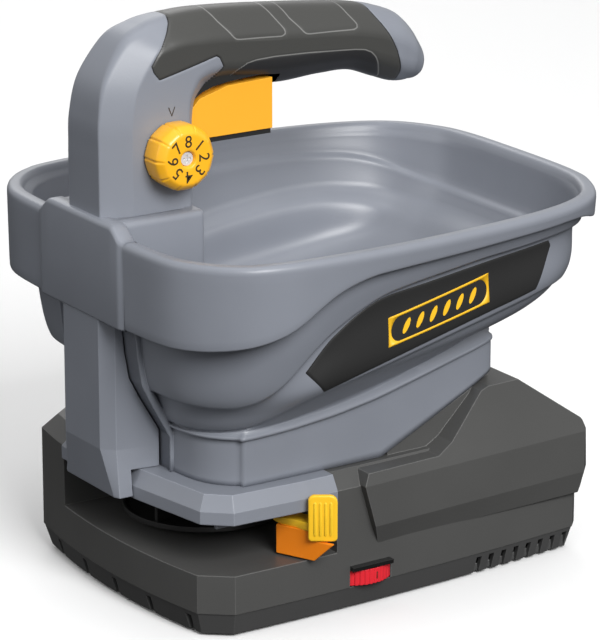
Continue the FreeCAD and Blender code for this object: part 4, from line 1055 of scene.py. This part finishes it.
def tab_outline(inset):
    """Rounded plate outline with one larger clipped corner, as (across, z)."""
    half, low, high = TAB_HALF - inset, TAB_LOW + inset, TAB_HIGH - inset
    points = []
    for cx, cz, radius, start in ((half, low, 2.0, 270), (half, high, 3.8, 0), (-half, high, 3.0, 90),
                                  (-half, low, 2.0, 180)):
        r = max(radius - inset, 0.4)
        ox = cx - math.copysign(r, cx)
        oz = cz + r if cz == low else cz - r
        for k in range(7):
            angle = math.radians(start + 90 * k / 6)
            points.append((ox + r * math.cos(angle), oz + r * math.sin(angle)))
    return points


def build_deflector():
    body = Builder()
    rows = []
    for inset, out in ((0.5, 0.0), (0.1, 0.15), (0.0, 0.5), (0.0, TAB_THICK - 0.8), (0.15, TAB_THICK - 0.3),
                       (0.5, TAB_THICK - 0.05), (1.0, TAB_THICK)):
        rows.append([tab_point(a, out, z) for a, z in tab_outline(inset)])
    body.rows(rows, cap_first=True, cap_last=True)
    for across in (-3.9, -1.3, 1.3, 3.9):
        ring = [(across - 0.55, TAB_LOW + 3.6), (across, TAB_LOW + 3.0), (across + 0.55, TAB_LOW + 3.6),
                (across + 0.55, TAB_HIGH - 4.2), (across, TAB_HIGH - 3.6), (across - 0.55, TAB_HIGH - 4.2)]
        body.rows([[tab_point(a, TAB_THICK - 0.2, z) for a, z in ring],
                   [tab_point(a, TAB_THICK + 0.25, z) for a, z in ring],
                   [tab_point(across + (a - across) * 0.55, TAB_THICK + 0.5, z) for a, z in ring]],
                  cap_last=True)
    arm = [(-65.4, -68), (-65.4, -75), (-61.9, -82), (-59.0, -93.2), (-53.6, -96.4), (-50.5, -92.0),
           (-47.5, -86), (-53.4, -77), (-53.4, -68)]
    middle = np.mean(arm, axis=0)
    body.rows([[(x + (middle[0] - x) * s, y + (middle[1] - y) * s, z) for x, y in arm]
               for s, z in ((0.04, 49.0), (0.0, 49.4), (0.0, 52.6), (0.04, 53.0))],
              cap_first=True, cap_last=True)
    body.rows([[(x, y, z) for x, y in [(-65.4, -74.8), (-53.4, -74.8), (-53.4, -67.4), (-65.4, -67.4)]]
               for z in (52.0, 58.7)], cap_first=True, cap_last=True)
    flap_line = [(-4.0, FLAP_TOP), (-4.0, FLAP_LOW), (18.0, FLAP_LOW), (28.0, FLAP_LOW + 9.5),
                 (28.0, TAB_LOW - 0.6), (FLAP_MEETS_TAB, TAB_LOW - 0.6), (FLAP_MEETS_TAB, FLAP_TOP)]
    rows = []
    for depth in (0.0, FLAP_THICK):
        rows.append([(FLAP_ROOT[0] + FLAP_ALONG[0] * t - FLAP_ALONG[1] * depth,
                      FLAP_ROOT[1] + FLAP_ALONG[1] * t + FLAP_ALONG[0] * depth, z) for t, z in flap_line])
    flap = Builder().rows(rows, cap_first=True, cap_last=True).done("deflector_plate", MAT["flap"], sharp=30)
    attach(flap, "deflector")
    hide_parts("deflector_flap")
    lever = body.done("deflector_tab", MAT["tab"], sharp=38)
    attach(lever, "deflector")
    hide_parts("deflector_lever")


build_deflector()

SHARP_NODE = math.radians(25)
for node_name in ("front_column", "discharge_plate", "base_housing", "base_tray", "trigger", "trigger_pad",
                  "speed_dial", "dial_hood"):
    NODES[node_name].data.set_sharp_from_angle(angle=SHARP_NODE)


# ---- camera, light and floor ----
CAMERA_LENS = 207.7
CAMERA_PLACE, CAMERA_AIM = (-0.98408, -1.50574, 0.67930), (0.5206, 0.8011, -0.2952)
LIGHTS = [    # name, place, size and power
    ("key", (-0.3, -1.9, 1.45), 1.0, 52.0), ("left_edge", (-2.0, 0.5, 1.0), 0.8, 3.0),
    ("back_edge", (0.6, 1.8, 1.3), 1.2, 8.0), ("top", (0.0, -0.2, 2.3), 1.2, 7.0),
]
LIT_POINT = Vector((0.0, 0.0, 0.15))
FLOOR_REACH = 12.0


def studio():
    scene = bpy.context.scene
    camera = bpy.data.cameras.new("camera")
    camera.lens = CAMERA_LENS
    camera.sensor_width = 36.0
    camera.clip_end = 50.0
    eye = bpy.data.objects.new("camera", camera)
    eye.location = CAMERA_PLACE
    eye.rotation_euler = Vector(CAMERA_AIM).to_track_quat("-Z", "Y").to_euler()
    scene.collection.objects.link(eye)
    scene.camera = eye

    for name, spot, size, power in LIGHTS:
        lamp = bpy.data.lights.new(name, "AREA")
        lamp.shape = "RECTANGLE"
        lamp.size = lamp.size_y = size
        lamp.energy = power
        softbox = bpy.data.objects.new(name, lamp)
        softbox.location = spot
        softbox.rotation_euler = (LIT_POINT - Vector(spot)).to_track_quat("-Z", "Y").to_euler()
        scene.collection.objects.link(softbox)

    world = bpy.data.worlds.new("studio")
    scene.world = world
    world.use_nodes = True
    tree = world.node_tree
    back = tree.nodes["Background"]
    place = node(tree, "TexCoord")
    split = node(tree, "SeparateXYZ")
    height = node(tree, "MapRange", {"From Min": -1.0, "From Max": 1.0})
    ramp = node(tree, "ValToRGB")
    ramp.color_ramp.elements.new(0.95)
    for stop, position, shade in zip(ramp.color_ramp.elements, (0.46, 0.56, 0.95), (0.05, 0.9, 0.75)):
        stop.position = position
        stop.color = (shade, shade, shade, 1)
    link(tree, place.outputs["Generated"], split.inputs["Vector"])
    link(tree, split.outputs["Z"], height.inputs["Value"])
    link(tree, height.outputs["Result"], ramp.inputs["Fac"])
    link(tree, ramp.outputs["Color"], back.inputs["Color"])
    back.inputs["Strength"].default_value = 0.7

    floor_mesh = bpy.data.meshes.new("floor")
    corners = [(x * FLOOR_REACH, y * FLOOR_REACH, 0) for x, y in ((-1, -1), (1, -1), (1, 1), (-1, 1))]
    floor_mesh.from_pydata(corners, [], [(0, 1, 2, 3)])
    floor = bpy.data.objects.new("floor", floor_mesh)
    material = bpy.data.materials.new("floor")
    material.use_nodes = True
    shader = material.node_tree.nodes["Principled BSDF"]
    shader.inputs["Base Color"].default_value = (0.96, 0.96, 0.96, 1)
    shader.inputs["Roughness"].default_value = 0.9
    floor_mesh.materials.append(material)
    scene.collection.objects.link(floor)
    floor.visible_diffuse = False
    floor.visible_glossy = False
    scene.view_settings.view_transform = "Standard"


studio()
bpy.context.view_layer.update()
